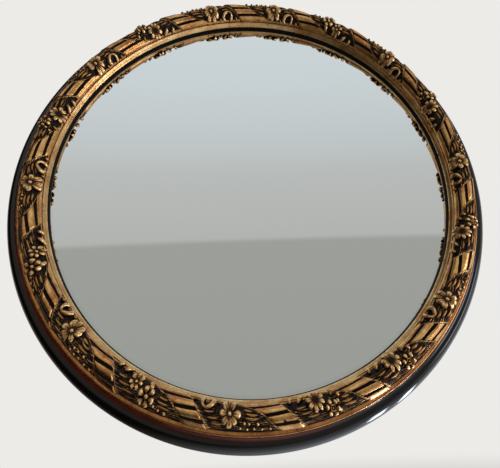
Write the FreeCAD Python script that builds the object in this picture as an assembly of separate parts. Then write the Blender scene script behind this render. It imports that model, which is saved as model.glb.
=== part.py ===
import FreeCAD, Part
import math
import os

# Round wall mirror with an ebonised wooden frame and a gilt ring of ribbon-bound reeding.
# The mirror hangs upright: +Z is up, the face looks towards -Y, and the back lies on the wall
# plane y = 0. The origin is on the mirror's own axis. All sizes are in millimetres.
# A profile point is (radius from the axis, height in front of the wall).
# Angles round the ring are counter-clockwise as seen from the front, from +X towards +Z.

# Ebonised frame
frame_radius = 350.0
widest_height = 10.0
seat_height = 44.0
ovolo_width = 12.5
ovolo_height = 27.5
cove_foot_inset = 1.0
cove_foot_rise = 1.2
cove_top_radius = 329.8
cove_bend_width = 2.0
cove_bend_rise = 1.0
back_round = 2.0
lip_radius = 293.0
rebate_radius = 298.5

# Glass and what holds it
glass_seat_height = 35.0
glass_radius = 297.0
glass_thickness = 3.0
glass_bulge = 2.0
glass_gap = 0.1
block_count = 12
block_span_degrees = 6.0
block_height = 11.0
block_width = 10.0

# Backboard and its screws
ledge_radius = 308.0
board_thickness = 5.0
board_gap = 0.4
board_screw_count = 8
board_screw_circle = 303.2
board_screw_radius = 1.7
board_screw_length = 16.0
board_screw_head_radius = 3.4
countersink_depth = 2.4
screw_play = 0.08

# Black slip and gilt mouldings round the glass
slip_radius = 289.7
slip_height = 40.0
slip_chamfer = 0.6
sight_radius = 290.5
sight_edge_height = 1.5
sight_top_height = 46.0
bead_width = 1.9
bead_height = 48.0
bead_chamfer = 0.6
ring_gap = 0.1
seat_gap = 0.05

# Reeded torus: a half ellipse on two upright sides
torus_radius = 309.75
torus_half_width = 14.35
torus_shoulder_height = 50.0
torus_rise = 17.5
groove_degrees = (58.0, 99.0, 139.0)
groove_half_degrees = 5.0
groove_depth = 2.0
reed_crown = 0.6

# Outer gilt fillet
fillet_radius = 329.3
fillet_height = 48.6
fillet_chamfer = 1.0

# Ribbon castings let into the torus
casting_count = 18
casting_first_degrees = 13.6
ribbon_inner_degrees = 12.8
ribbon_outer_degrees = 15.0
ribbon_slant_degrees = 5.2
ribbon_start_bow_degrees = 0.2
ribbon_end_bow_degrees = 1.2
band_first_degrees = 12.0
band_last_degrees = 168.0
recess_depth = 2.4
ribbon_thickness = 1.5
casting_play = 0.1
single_castings = (1, 3, 4, 6, 8, 10, 12, 15, 17)

# D-ring hangers in routed pockets
hanger_x = 321.5
hanger_pivot_z = 60.0
pocket_width = 23.0
pocket_bottom_z = 8.0
pocket_top_z = 86.0
pocket_depth = 8.0
pocket_corner = 4.0
strap_width = 16.0
strap_thickness = 1.5
strap_bottom_z = 10.0
barrel_radius = 2.9
barrel_length = 11.4
wire_radius = 1.5
wire_play = 0.08
ring_half_width = 8.5
ring_corner = 2.4
ring_side_length = 8.5
hanger_screw_drops = (26.0, 40.0)
hanger_screw_radius = 1.6
hanger_screw_head_radius = 3.2
hanger_screw_head_height = 1.8
hanger_screw_length = 15.0

origin = FreeCAD.Vector(0, 0, 0)
axis = FreeCAD.Vector(0, -1, 0)
inward = FreeCAD.Vector(0, -1, 0)


def profile_point(radius, height):
    return FreeCAD.Vector(radius, -height, 0)


def line_edge(start, end):
    return Part.makeLine(profile_point(*start), profile_point(*end))


def arc_edge(start, middle, end):
    points = [profile_point(*point) for point in (start, middle, end)]
    return Part.Arc(*points).toShape()


def ellipse_point(centre, half_width, half_height, degrees):
    """A point of an ellipse in the profile, where 0 degrees is outwards and 90 is to the front."""
    turn = math.radians(degrees)
    return (centre[0] + half_width * math.cos(turn), centre[1] + half_height * math.sin(turn))


def ellipse_edge(centre, half_width, half_height, start_degrees, end_degrees):
    """A smooth edge through a few points of an ellipse in the profile."""
    points = []
    for step in range(7):
        degrees = start_degrees + (end_degrees - start_degrees) * step / 6
        points.append(profile_point(*ellipse_point(centre, half_width, half_height, degrees)))
    curve = Part.BSplineCurve()
    curve.interpolate(points)
    return curve.toShape()


def outline(start, *steps):
    """Edges of a profile: a point gives a line, a pair of points an arc, an edge is kept as it is."""
    edges = []
    here = start
    for step in steps:
        if isinstance(step, Part.Shape):
            edges.append(step)
            last = step.Vertexes[-1].Point
            here = (last.x, -last.y)
        elif isinstance(step[0], tuple):
            edges.append(arc_edge(here, step[0], step[1]))
            here = step[1]
        else:
            edges.append(line_edge(here, step))
            here = step
    edges.append(line_edge(here, start))
    return edges


def turned_ring(edges, degrees=360.0):
    """A ring turned from its profile, like wood on a lathe."""
    return Part.Face(Part.Wire(edges)).revolve(origin, axis, degrees)


def turned_about_axis(shape, degrees):
    return shape.rotated(origin, axis, degrees)


def front_point(radius, degrees, height):
    turn = math.radians(degrees)
    return FreeCAD.Vector(radius * math.cos(turn), -height, radius * math.sin(turn))


# ---------- screws and blocks ----------

def board_screw_places():
    return [360.0 * (number + 0.5) / board_screw_count for number in range(board_screw_count)]


def countersunk_screw(head_radius, shank_radius, length, sunk):
    """A countersunk screw along -Y, with its head's face a little below y = 0."""
    top = FreeCAD.Vector(0, -sunk, 0)
    neck = FreeCAD.Vector(0, -countersink_depth - sunk, 0)
    tip_length = 3 * shank_radius
    shank_length = length - countersink_depth - tip_length
    head = Part.makeCone(head_radius, shank_radius, countersink_depth, top, inward)
    shank = Part.makeCylinder(shank_radius, shank_length, neck, inward)
    tip = Part.makeCone(shank_radius, 0.3, tip_length, neck + inward * shank_length, inward)
    return head.fuse([shank, tip]).removeSplitter()


def board_screw_hole():
    """The countersunk hole through the board and the pilot hole in the ledge behind it."""
    head_radius = board_screw_head_radius + screw_play + 0.2
    shank_radius = board_screw_radius + screw_play
    sink = Part.makeCone(head_radius, shank_radius, countersink_depth + 0.2, origin, inward)
    pilot = Part.makeCylinder(shank_radius, board_screw_length + 1.5, origin, inward)
    return sink.fuse(pilot)


def placed_on_circle(shape, radius, degrees):
    return shape.translated(front_point(radius, degrees, 0))


def glazing_block():
    """A triangular softwood glue block in the corner between the glass and the rebate."""
    top = glass_seat_height - glass_thickness - 3 * glass_gap
    outer = rebate_radius - ring_gap
    edges = outline((outer, top), (outer - block_width, top), (outer, top - block_height))
    block = turned_ring(edges, block_span_degrees)
    return turned_about_axis(block, -block_span_degrees / 2)


# ---------- hangers ----------

def pan_screw(x, z):
    """A pan-head screw through a hanger strap, along -Y."""
    seat = FreeCAD.Vector(x, strap_thickness - pocket_depth, z)
    tip_length = 3 * hanger_screw_radius
    shank_length = hanger_screw_length - tip_length
    head = Part.makeCylinder(hanger_screw_head_radius, hanger_screw_head_height, seat, -inward)
    rim = [edge for edge in head.Edges if abs(edge.BoundBox.YMin - head.BoundBox.YMax) < 1e-6]
    head = head.makeFillet(hanger_screw_head_height * 0.6, rim)
    shank = Part.makeCylinder(hanger_screw_radius, shank_length, seat, inward)
    tip = Part.makeCone(hanger_screw_radius, 0.3, tip_length, seat + inward * shank_length, inward)
    return head.fuse([shank, tip]).removeSplitter()


def hanger_screw_hole(x, z):
    seat = FreeCAD.Vector(x, 0, z)
    reach = pocket_depth + hanger_screw_length + 1.0
    return Part.makeCylinder(hanger_screw_radius + screw_play, reach, seat, inward)


def hanger_screw_points(side):
    return [(side * hanger_x, hanger_pivot_z - drop) for drop in hanger_screw_drops]


def hanger_pocket(side):
    """The routed pocket that keeps a hanger behind the wall plane."""
    corner = FreeCAD.Vector(side * hanger_x - pocket_width / 2, -pocket_depth, pocket_bottom_z)
    pocket = Part.makeBox(pocket_width, pocket_depth + 1, pocket_top_z - pocket_bottom_z, corner)
    upright = [edge for edge in pocket.Edges if edge.BoundBox.YLength > pocket_depth]
    return pocket.makeFillet(pocket_corner, upright)


def pivot_height():
    """How far in front of the wall a ring's pivot lies."""
    return pocket_depth - strap_thickness - barrel_radius + 0.1


def hanger_plate(side):
    """A steel strap with two screw holes, rolled into a barrel for the ring at its upper end."""
    corner = FreeCAD.Vector(side * hanger_x - strap_width / 2, -pocket_depth, strap_bottom_z)
    strap = Part.makeBox(strap_width, strap_thickness, hanger_pivot_z - strap_bottom_z, corner)
    strap = strap.makeFillet(5.0, [edge for edge in strap.Edges
                                   if edge.BoundBox.ZMax < strap_bottom_z + 0.1
                                   and edge.BoundBox.YLength > strap_thickness / 2])
    start = FreeCAD.Vector(side * hanger_x - barrel_length / 2, -pivot_height(), hanger_pivot_z)
    along = FreeCAD.Vector(1, 0, 0)
    barrel = Part.makeCylinder(barrel_radius, barrel_length, start, along)
    bore = Part.makeCylinder(wire_radius + wire_play, barrel_length, start, along)
    plate = strap.fuse(barrel).cut(bore)
    for x, z in hanger_screw_points(side):
        plate = plate.cut(hanger_screw_hole(x, z))
    return plate.removeSplitter()


def hanger_ring(side):
    """A bent wire ring that hangs from the barrel: a bar, two sides and a half round."""
    x = side * hanger_x
    y = -pivot_height()
    top = hanger_pivot_z
    shoulder = top - ring_corner
    low = top - ring_side_length
    bend = ring_corner * (1 - math.sqrt(0.5))

    def at(offset, z):
        return FreeCAD.Vector(x + offset, y, z)

    inner = ring_half_width - ring_corner
    edges = [
        Part.makeLine(at(-inner, top), at(inner, top)),
        Part.Arc(at(inner, top), at(ring_half_width - bend, top - bend),
                 at(ring_half_width, shoulder)).toShape(),
        Part.makeLine(at(ring_half_width, shoulder), at(ring_half_width, low)),
        Part.Arc(at(ring_half_width, low), at(0, low - ring_half_width),
                 at(-ring_half_width, low)).toShape(),
        Part.makeLine(at(-ring_half_width, low), at(-ring_half_width, shoulder)),
        Part.Arc(at(-ring_half_width, shoulder), at(-ring_half_width + bend, top - bend),
                 at(-inner, top)).toShape(),
    ]
    section = Part.Wire(Part.makeCircle(wire_radius, at(-inner, top), FreeCAD.Vector(1, 0, 0)))
    return Part.Wire(edges).makePipeShell([section], True, True)


# ---------- wooden frame, glass and back ----------

def frame_body():
    """The ebonised ring: ovolo and cove outside, flat seat for the gilding, rebate behind."""
    ovolo_centre = (frame_radius - ovolo_width, widest_height)
    ovolo_top = (ovolo_centre[0], widest_height + ovolo_height)
    cove_foot = (ovolo_top[0] - cove_foot_inset, ovolo_top[1] + cove_foot_rise)
    cove_bend = (cove_top_radius + cove_bend_width, cove_foot[1] + cove_bend_rise)
    body = turned_ring(outline(
        (ledge_radius, 0),
        (frame_radius - back_round, 0),
        ((frame_radius - 0.3 * back_round, 0.3 * back_round), (frame_radius, back_round)),
        (frame_radius, widest_height),
        ellipse_edge(ovolo_centre, ovolo_width, ovolo_height, 0, 90),
        (ovolo_top[0], cove_foot[1]),
        cove_foot,
        (cove_bend, (cove_top_radius, seat_height)),
        (lip_radius, seat_height),
        (lip_radius, glass_seat_height),
        (rebate_radius, glass_seat_height),
        (rebate_radius, board_thickness),
        (ledge_radius, board_thickness)))
    cuts = []
    for degrees in board_screw_places():
        cuts.append(placed_on_circle(board_screw_hole(), board_screw_circle, degrees))
    for side in (-1, 1):
        cuts.append(hanger_pocket(side))
        cuts.extend(hanger_screw_hole(x, z) for x, z in hanger_screw_points(side))
    return body.cut(cuts)


def mirror_glass():
    """A silvered disc of glass with a very gentle forward bulge."""
    edge_front = glass_seat_height - glass_gap
    edge_back = edge_front - glass_thickness
    sphere_radius = (glass_radius ** 2 + glass_bulge ** 2) / (2 * glass_bulge)
    half = glass_radius / 2
    rise = glass_bulge - sphere_radius + math.sqrt(sphere_radius ** 2 - half ** 2)
    front = ((half, edge_front + rise), (0, edge_front + glass_bulge))
    back = ((half, edge_back + rise), (glass_radius, edge_back))
    return turned_ring(outline(
        (glass_radius, edge_front),
        front,
        (0, edge_back + glass_bulge),
        back))


def glazing_blocks():
    turns = [360.0 * number / block_count for number in range(block_count)]
    return Part.makeCompound([turned_about_axis(glazing_block(), turn) for turn in turns])


def backboard():
    board = Part.makeCylinder(ledge_radius - board_gap, board_thickness, origin, inward)
    holes = [placed_on_circle(board_screw_hole(), board_screw_circle, degrees)
             for degrees in board_screw_places()]
    return board.cut(holes)


def backboard_screws():
    screw = countersunk_screw(board_screw_head_radius, board_screw_radius, board_screw_length, 0.2)
    return Part.makeCompound([placed_on_circle(screw, board_screw_circle, degrees)
                              for degrees in board_screw_places()])


def hanger_screws():
    screws = []
    for side in (-1, 1):
        screws.extend(pan_screw(x, z) for x, z in hanger_screw_points(side))
    return Part.makeCompound(screws)


# ---------- black slip and gilt mouldings ----------

def sight_slip():
    """The thin black band that stands on the glass inside the gilding."""
    outer = lip_radius - ring_gap
    return turned_ring(outline(
        (slip_radius, glass_seat_height),
        (outer, glass_seat_height),
        (outer, slip_height),
        (slip_radius + slip_chamfer, slip_height),
        (slip_radius, slip_height - slip_chamfer)))


def sight_fillet():
    """The smooth gilt fillet next to the slip, with a fine bead against the torus."""
    outer = torus_radius - torus_half_width - ring_gap
    low = slip_height + seat_gap
    seat = seat_height + seat_gap
    bead = outer - bead_width
    return turned_ring(outline(
        (sight_radius, low),
        (lip_radius - ring_gap, low),
        (lip_radius - ring_gap, seat),
        (outer, seat),
        (outer, bead_height - bead_chamfer),
        (outer - bead_chamfer, bead_height),
        (bead + bead_chamfer, bead_height),
        (bead, bead_height - bead_chamfer),
        (bead, sight_top_height),
        (sight_radius, low + sight_edge_height)))


def torus_point(degrees, offset=0.0):
    """A point of the torus profile, moved off its surface by the offset."""
    centre = (torus_radius, torus_shoulder_height)
    return ellipse_point(centre, torus_half_width + offset, torus_rise + offset, degrees)


def reeded_torus_blank():
    """Reeds side by side round a half ellipse, parted by V grooves."""
    outer = torus_radius + torus_half_width
    inner = torus_radius - torus_half_width
    steps = [(outer, seat_height + seat_gap), torus_point(0)]
    start = 0.0
    for groove in groove_degrees:
        end = groove - groove_half_degrees
        steps.append((torus_point((start + end) / 2, reed_crown), torus_point(end)))
        start = groove + groove_half_degrees
        steps.append(torus_point(groove, -groove_depth))
        steps.append(torus_point(start))
    steps.append((torus_point((start + 180) / 2, reed_crown), torus_point(180)))
    return turned_ring(outline((inner, seat_height + seat_gap), *steps))


def torus_band(low_offset, high_offset):
    """A shell of the torus between two offsets from its profile, without the lowest flanks."""
    centre = (torus_radius, torus_shoulder_height)
    low = (torus_half_width + low_offset, torus_rise + low_offset)
    high = (torus_half_width + high_offset, torus_rise + high_offset)
    first, last = band_first_degrees, band_last_degrees
    edges = [
        ellipse_edge(centre, high[0], high[1], first, last),
        line_edge(torus_point(last, high_offset), torus_point(last, low_offset)),
        ellipse_edge(centre, low[0], low[1], last, first),
        line_edge(torus_point(first, low_offset), torus_point(first, high_offset)),
    ]
    return turned_ring(edges, 30.0)


def ribbon_prism(play):
    """The slanted plan shape of one ribbon panel, as a prism in front of the seat.

    The panel starts at zero degrees at its inner edge and leans counter-clockwise outwards."""
    inner = torus_radius - torus_half_width + 0.8 + play
    outer = torus_radius + torus_half_width - 0.8 - play
    middle = torus_radius
    turn = math.degrees(play / middle)
    right = ribbon_slant_degrees + ribbon_outer_degrees
    left_middle = ribbon_slant_degrees / 2 + ribbon_start_bow_degrees
    right_middle = (ribbon_inner_degrees + right) / 2 + ribbon_end_bow_degrees

    def at(radius, degrees):
        return front_point(radius, degrees, seat_height)

    left_edge = Part.Arc(at(inner, turn), at(middle, left_middle + turn),
                         at(outer, ribbon_slant_degrees + turn)).toShape()
    outer_edge = Part.Arc(at(outer, ribbon_slant_degrees + turn),
                          at(outer, (ribbon_slant_degrees + right) / 2),
                          at(outer, right - turn)).toShape()
    right_edge = Part.Arc(at(outer, right - turn), at(middle, right_middle - turn),
                          at(inner, ribbon_inner_degrees - turn)).toShape()
    inner_edge = Part.Arc(at(inner, ribbon_inner_degrees - turn),
                          at(inner, ribbon_inner_degrees / 2),
                          at(inner, turn)).toShape()
    face = Part.Face(Part.Wire([left_edge, outer_edge, right_edge, inner_edge]))
    return face.extrude(inward * 40)


def casting_turns():
    return [casting_first_degrees + 360.0 * number / casting_count
            for number in range(casting_count)]


def reeded_torus():
    """The gilt reeded ring with a shallow recess for each ribbon casting."""
    band = turned_about_axis(torus_band(-recess_depth, 5.0), -4.0)
    recess = band.common(ribbon_prism(0.0))
    recesses = [turned_about_axis(recess, turn) for turn in casting_turns()]
    return reeded_torus_blank().cut(recesses)


def outer_fillet():
    """The plain gilt fillet outside the torus, with a chamfered outer edge."""
    inner = torus_radius + torus_half_width + ring_gap
    seat = seat_height + seat_gap
    return turned_ring(outline(
        (inner, seat),
        (fillet_radius, seat),
        (fillet_radius, fillet_height - fillet_chamfer),
        (fillet_radius - fillet_chamfer, fillet_height),
        (inner, fillet_height)))


# ---------- flowers of the ribbon castings ----------

def surface_frame(radius, degrees, lift):
    """A point over the torus at a plan place, with its outward normal and two directions.

    The first direction points away from the mirror's axis and the second counter-clockwise."""
    across = (radius - torus_radius) / torus_half_width
    rise = math.sqrt(max(0.05, 1 - across * across))
    height = torus_shoulder_height + torus_rise * rise
    normal_out = across / torus_half_width
    normal_front = rise / torus_rise
    length = math.hypot(normal_out, normal_front)
    normal_out /= length
    normal_front /= length
    turn = math.radians(degrees)
    radial = FreeCAD.Vector(math.cos(turn), 0, math.sin(turn))
    around = FreeCAD.Vector(-math.sin(turn), 0, math.cos(turn))
    front = FreeCAD.Vector(0, -1, 0)
    normal = radial * normal_out + front * normal_front
    outward = radial * normal_front - front * normal_out
    point = front_point(radius, degrees, height) + normal * lift
    return point, normal, outward, around


def ellipsoid(point, first, second, third, lengths):
    """An ellipsoid at a point with half lengths along three square directions."""
    stretch = FreeCAD.Matrix()
    for column, (direction, length) in enumerate(zip((first, second, third), lengths)):
        for row, value in enumerate((direction.x, direction.y, direction.z)):
            stretch.A = stretch.A[:row * 4 + column] + (value * length,) + stretch.A[row * 4 + column + 1:]
    stretch.A = stretch.A[:3] + (point.x,) + stretch.A[4:7] + (point.y,) + stretch.A[8:11] + (point.z,) \
        + stretch.A[12:]
    return Part.makeSphere(1.0).transformGeometry(stretch)


def daisy(radius, degrees, size, petal_count, lift):
    """A flower of upturned oval petals round a low boss, on a cone that joins it to the ribbon."""
    point, normal, outward, around = surface_frame(radius, degrees, lift)
    height = lift + recess_depth - 0.4
    pieces = [Part.makeCone(size * 0.7, size * 0.4, height, point - normal * height, normal)]
    for number in range(petal_count):
        turn = 2 * math.pi * number / petal_count
        along = outward * math.cos(turn) + around * math.sin(turn)
        raised = (along * 0.96 + normal * 0.28).normalize()
        sideways = normal.cross(raised).normalize()
        upwards = raised.cross(sideways)
        centre = point + along * size * 0.58
        width = size * math.sin(math.pi / petal_count) * 0.68
        pieces.append(ellipsoid(centre, raised, sideways, upwards, (size * 0.44, width, size * 0.17)))
    pieces.append(ellipsoid(point, normal, outward, around, (size * 0.26, size * 0.24, size * 0.24)))
    return pieces


def berry(radius, degrees, size):
    point, normal, outward, around = surface_frame(radius, degrees, -0.1)
    return [ellipsoid(point, normal, outward, around, (size * 1.2, size, size))]


def leaf(radius, degrees, lean_degrees, length, width, height=1.9):
    """A long low leaf that leans from the radial direction towards counter-clockwise."""
    point, normal, outward, around = surface_frame(radius, degrees, -1.0)
    lean = math.radians(lean_degrees)
    along = outward * math.cos(lean) + around * math.sin(lean)
    sideways = normal.cross(along)
    return [ellipsoid(point, along, sideways, normal, (length / 2, width / 2, height))]


def paired_flowers():
    """A large daisy on the inner flank, a smaller flower beyond the crest, and berries."""
    pieces = daisy(301.4, 8.2, 11.0, 9, 2.2)
    pieces += daisy(313.2, 11.6, 8.6, 6, 2.4)
    pieces += berry(301.6, 12.2, 2.0) + berry(304.6, 13.4, 1.9) + berry(318.4, 14.2, 1.9)
    pieces += leaf(299.6, 3.0, 62, 15.0, 7.0, 3.2)
    pieces += leaf(305.0, 4.6, 76, 13.0, 2.6) + leaf(310.0, 5.6, 84, 13.0, 2.6)
    pieces += leaf(315.0, 7.0, 88, 11.0, 2.4)
    pieces += leaf(315.0, 15.6, 82, 13.0, 2.6) + leaf(310.4, 14.8, 80, 13.0, 2.6)
    pieces += leaf(305.6, 13.8, 76, 9.0, 2.4)
    return pieces


def single_flower():
    """One long-petalled daisy on the crest, a hooked leaf before it and berries after it."""
    pieces = daisy(306.0, 9.4, 12.0, 8, 2.6)
    pieces += leaf(300.0, 3.6, 40, 15.0, 6.0, 3.4) + leaf(303.6, 5.0, 120, 8.0, 3.4, 2.8)
    for radius, degrees in ((318.4, 11.4), (320.0, 12.7), (317.6, 13.6), (320.0, 14.8), (317.4, 15.6)):
        pieces += berry(radius, degrees, 1.9)
    pieces += leaf(308.4, 3.8, 80, 12.0, 2.6) + leaf(313.6, 5.8, 86, 12.0, 2.6)
    pieces += leaf(312.6, 15.6, 84, 12.0, 2.6) + leaf(307.8, 14.4, 80, 11.0, 2.6)
    pieces += leaf(303.0, 13.2, 76, 8.0, 2.4)
    return pieces


def ribbon_casting(flowers):
    """A composition casting: the ribbon's ground with its flowers standing on it.

    The flowers may lie over the reeds beside the ribbon, but they stay clear of the torus."""
    bed = -recess_depth + casting_play
    prism = ribbon_prism(casting_play)
    ground = turned_about_axis(torus_band(bed, bed + ribbon_thickness), -4.0).common(prism)
    space = turned_about_axis(torus_band(-9.0, 13.0), -4.0)
    below = turned_about_axis(torus_band(-9.5, bed), -4.0)
    beside = turned_about_axis(torus_band(-9.5, reed_crown + casting_play), -4.0).cut(prism)
    raised = flowers[0].fuse(flowers[1:]).common(space).cut(below).cut(beside)
    casting = ground.fuse(raised)
    return max(casting.Solids, key=lambda solid: solid.Volume)


def main():
    os.makedirs("parts", exist_ok=True)
    nodes = {
        "frame_body": frame_body(),
        "outer_gilt_fillet": outer_fillet(),
        "reeded_torus": reeded_torus(),
        "sight_fillet": sight_fillet(),
        "sight_slip": sight_slip(),
        "mirror_glass": mirror_glass(),
        "glazing_blocks": glazing_blocks(),
        "backboard": backboard(),
        "backboard_screws": backboard_screws(),
        "hanger_screws": hanger_screws(),
    }
    for side, name in ((-1, "left"), (1, "right")):
        nodes["hanger_plate_" + name] = hanger_plate(side)
        nodes["hanger_ring_" + name] = hanger_ring(side)
    pair = ribbon_casting(paired_flowers())
    single = ribbon_casting(single_flower())
    for number, turn in enumerate(casting_turns()):
        casting = single if number in single_castings else pair
        nodes["ribbon_casting_%02d" % (number + 1)] = turned_about_axis(casting, turn)
    for name, shape in nodes.items():
        shape.exportStep("parts/" + name + ".step")
        print(name, "valid" if shape.isValid() else "INVALID", len(shape.Solids), round(shape.Volume))


main()
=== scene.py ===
import math
import random

import bmesh
import bpy
import numpy as np
from mathutils import Matrix, Vector, noise


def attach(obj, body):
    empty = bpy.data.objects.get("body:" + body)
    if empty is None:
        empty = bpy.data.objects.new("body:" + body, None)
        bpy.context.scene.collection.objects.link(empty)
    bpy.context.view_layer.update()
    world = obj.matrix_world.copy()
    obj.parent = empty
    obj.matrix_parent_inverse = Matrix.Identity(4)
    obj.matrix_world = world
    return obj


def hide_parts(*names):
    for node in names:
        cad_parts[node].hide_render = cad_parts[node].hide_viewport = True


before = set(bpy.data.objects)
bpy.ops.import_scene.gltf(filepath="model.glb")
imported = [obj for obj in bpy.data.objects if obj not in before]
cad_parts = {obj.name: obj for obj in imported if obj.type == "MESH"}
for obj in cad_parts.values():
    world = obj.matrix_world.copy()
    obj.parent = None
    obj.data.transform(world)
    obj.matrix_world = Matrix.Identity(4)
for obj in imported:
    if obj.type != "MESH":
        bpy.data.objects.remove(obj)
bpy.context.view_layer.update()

# The mirror hangs upright: +Z is up, the face looks towards -Y, and its back is the plane y = 0.
# Profiles are drawn in millimetres, as points of (radius, height in front of the back).
# Angles round the ring run counter-clockwise as seen from the front, from +X towards +Z.


# ---------- ebonised frame ----------
# The outer ring is beech, glued up from eight segments and turned on a faceplate. It is stained
# black and French polished in front, and only stained on its back, where the pockets of the two
# hangers are routed.

def linear(hex_colour):
    """A written sRGB colour as the linear RGBA that a shader takes."""
    parts = [int(hex_colour[place:place + 2], 16) / 255 for place in (1, 3, 5)]
    return tuple(v / 12.92 if v <= 0.04045 else ((v + 0.055) / 1.055) ** 2.4 for v in parts) + (1.0,)


def add_node(tree, kind, inputs=None, **settings):
    """A new node with its settings. An input takes a value, a socket, or a node for its first output."""
    node = tree.nodes.new(kind)
    for name, value in settings.items():
        setattr(node, name, value)
    for key, value in (inputs or {}).items():
        if isinstance(value, bpy.types.Node):
            value = next(socket for socket in value.outputs if socket.enabled)
        if isinstance(value, bpy.types.NodeSocket):
            tree.links.new(value, node.inputs[key])
        else:
            node.inputs[key].default_value = value
    return node


def new_material(name):
    """An empty node material, and its tree with the surface output."""
    material = bpy.data.materials.new(name)
    material.use_nodes = True
    material.node_tree.nodes.clear()
    return material, material.node_tree


def surface(tree, shader):
    """Joins a shader to the surface output."""
    add_node(tree, "ShaderNodeOutputMaterial", {"Surface": shader})


def new_recipe(name, sockets):
    """An empty geometry recipe with named inputs; returns its tree, input node and identifiers."""
    tree = bpy.data.node_groups.new(name, "GeometryNodeTree")
    identifiers = {}
    for label, kind in sockets:
        socket = tree.interface.new_socket(label, in_out="INPUT", socket_type=kind)
        identifiers[label] = socket.identifier
    tree.interface.new_socket("Geometry", in_out="OUTPUT", socket_type="NodeSocketGeometry")
    return tree, tree.nodes.new("NodeGroupInput"), identifiers


def close_recipe(tree, given, geometry):
    """Ends a recipe: instances become real, and the finish is set."""
    real = add_node(tree, "GeometryNodeRealizeInstances", {0: geometry})
    finish = add_node(tree, "GeometryNodeSetMaterial",
                      {"Geometry": real, "Material": given.outputs["Finish"]})
    add_node(tree, "NodeGroupOutput", {0: finish})


def in_scene(name, data):
    """A new object in the scene."""
    item = bpy.data.objects.new(name, data)
    bpy.context.scene.collection.objects.link(item)
    return item


def shaped(name, shape):
    """An object from a bmesh, with its faces turned outward."""
    bmesh.ops.recalc_face_normals(shape, faces=shape.faces)
    mesh = bpy.data.meshes.new(name)
    shape.to_mesh(mesh)
    shape.free()
    return in_scene(name, mesh)


def cutter_for(piece, name, shape):
    """An object that a modifier of the piece cuts away."""
    cutter = shaped(name, shape)
    cut = piece.modifiers.new(name, "BOOLEAN")
    cut.object, cut.operation, cut.solver = cutter, "DIFFERENCE", "EXACT"
    return cutter


def baked(item, finish):
    """The mesh that an object has after its modifiers, in one finish."""
    graph = bpy.context.evaluated_depsgraph_get()
    mesh = bpy.data.meshes.new_from_object(item.evaluated_get(graph), depsgraph=graph)
    mesh.materials.clear()
    mesh.materials.append(finish)
    mesh.polygons.foreach_set("material_index", [0] * len(mesh.polygons))
    return mesh


def follow(points, edges, faces, recipe, identifiers, values, name, attributes=None):
    """Runs a recipe on a simple mesh and returns the plain mesh that it makes."""
    start = bpy.data.meshes.new(name)
    start.from_pydata([tuple(point) for point in points], edges, faces)
    for label, numbers in (attributes or {}).items():
        start.attributes.new(label, "FLOAT", "POINT").data.foreach_set("value", np.array(numbers, np.float32))
    worker = in_scene(name, start)
    modifier = worker.modifiers.new("recipe", "NODES")
    modifier.node_group = recipe
    for label, value in values.items():
        modifier[identifiers[label]] = value
    mesh = baked(worker, values["Finish"])
    bpy.data.objects.remove(worker)
    bpy.data.meshes.remove(start)
    return mesh


def finished(mesh, name, crisp_degrees=32.0):
    """A finished piece: doubles merged, faces outward, smooth except over its crisp arrises."""
    shell = bmesh.new()
    shell.from_mesh(mesh)
    bmesh.ops.remove_doubles(shell, verts=shell.verts, dist=2e-6)
    bmesh.ops.dissolve_degenerate(shell, edges=shell.edges, dist=1e-7)
    bmesh.ops.recalc_face_normals(shell, faces=shell.faces)
    shell.to_mesh(mesh)
    shell.free()
    for face in mesh.polygons:
        face.use_smooth = True
    mesh.set_sharp_from_angle(angle=math.radians(crisp_degrees))
    mesh.name = name
    return in_scene(name, mesh)


def placed_round(tree, radius, height, angle):
    """The place at a radius and an angle round the axis, and at a height to the front, in metres."""
    east = add_node(tree, "ShaderNodeMath", {0: angle}, operation="COSINE")
    north = add_node(tree, "ShaderNodeMath", {0: angle}, operation="SINE")
    across = add_node(tree, "ShaderNodeMath", {0: east, 1: radius}, operation="MULTIPLY")
    upward = add_node(tree, "ShaderNodeMath", {0: north, 1: radius}, operation="MULTIPLY")
    forward = add_node(tree, "ShaderNodeMath", {0: height, 1: -1.0}, operation="MULTIPLY")
    place = add_node(tree, "ShaderNodeCombineXYZ", {"X": across, "Y": forward, "Z": upward})
    return add_node(tree, "ShaderNodeVectorMath", {0: place, 1: (0.001, 0.001, 0.001)}, operation="MULTIPLY")


turning, given, turning_inputs = new_recipe("turn a moulding from its profile", (
    ("Profile", "NodeSocketGeometry"), ("Steps round", "NodeSocketInt"), ("Finish", "NodeSocketMaterial")))
size = add_node(turning, "GeometryNodeAttributeDomainSize", {0: given.outputs["Profile"]})
columns = add_node(turning, "ShaderNodeMath", {0: given.outputs["Steps round"], 1: 1.0}, operation="ADD")
grid = add_node(turning, "GeometryNodeMeshGrid",
                {"Vertices X": columns, "Vertices Y": size.outputs["Point Count"]})
index = add_node(turning, "GeometryNodeInputIndex")
row = add_node(turning, "ShaderNodeMath", {0: index, 1: size.outputs["Point Count"]}, operation="MODULO")
share = add_node(turning, "ShaderNodeMath", {0: index, 1: size.outputs["Point Count"]}, operation="DIVIDE")
column = add_node(turning, "ShaderNodeMath", {0: share}, operation="FLOOR")
turns = add_node(turning, "ShaderNodeMath", {0: column, 1: given.outputs["Steps round"]}, operation="DIVIDE")
angle = add_node(turning, "ShaderNodeMath", {0: turns, 1: 2 * math.pi}, operation="MULTIPLY")
place = add_node(turning, "GeometryNodeInputPosition")
point = add_node(turning, "GeometryNodeSampleIndex", {"Geometry": given.outputs["Profile"], "Index": row},
                 data_type="FLOAT_VECTOR", domain="POINT")
turning.links.new(place.outputs[0], point.inputs["Value"])
profile = add_node(turning, "ShaderNodeSeparateXYZ", {0: point})
metres = placed_round(turning, profile.outputs["X"], profile.outputs["Y"], angle)
turned_grid = add_node(turning, "GeometryNodeSetPosition",
                       {"Geometry": grid.outputs["Mesh"], "Position": metres})
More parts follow.
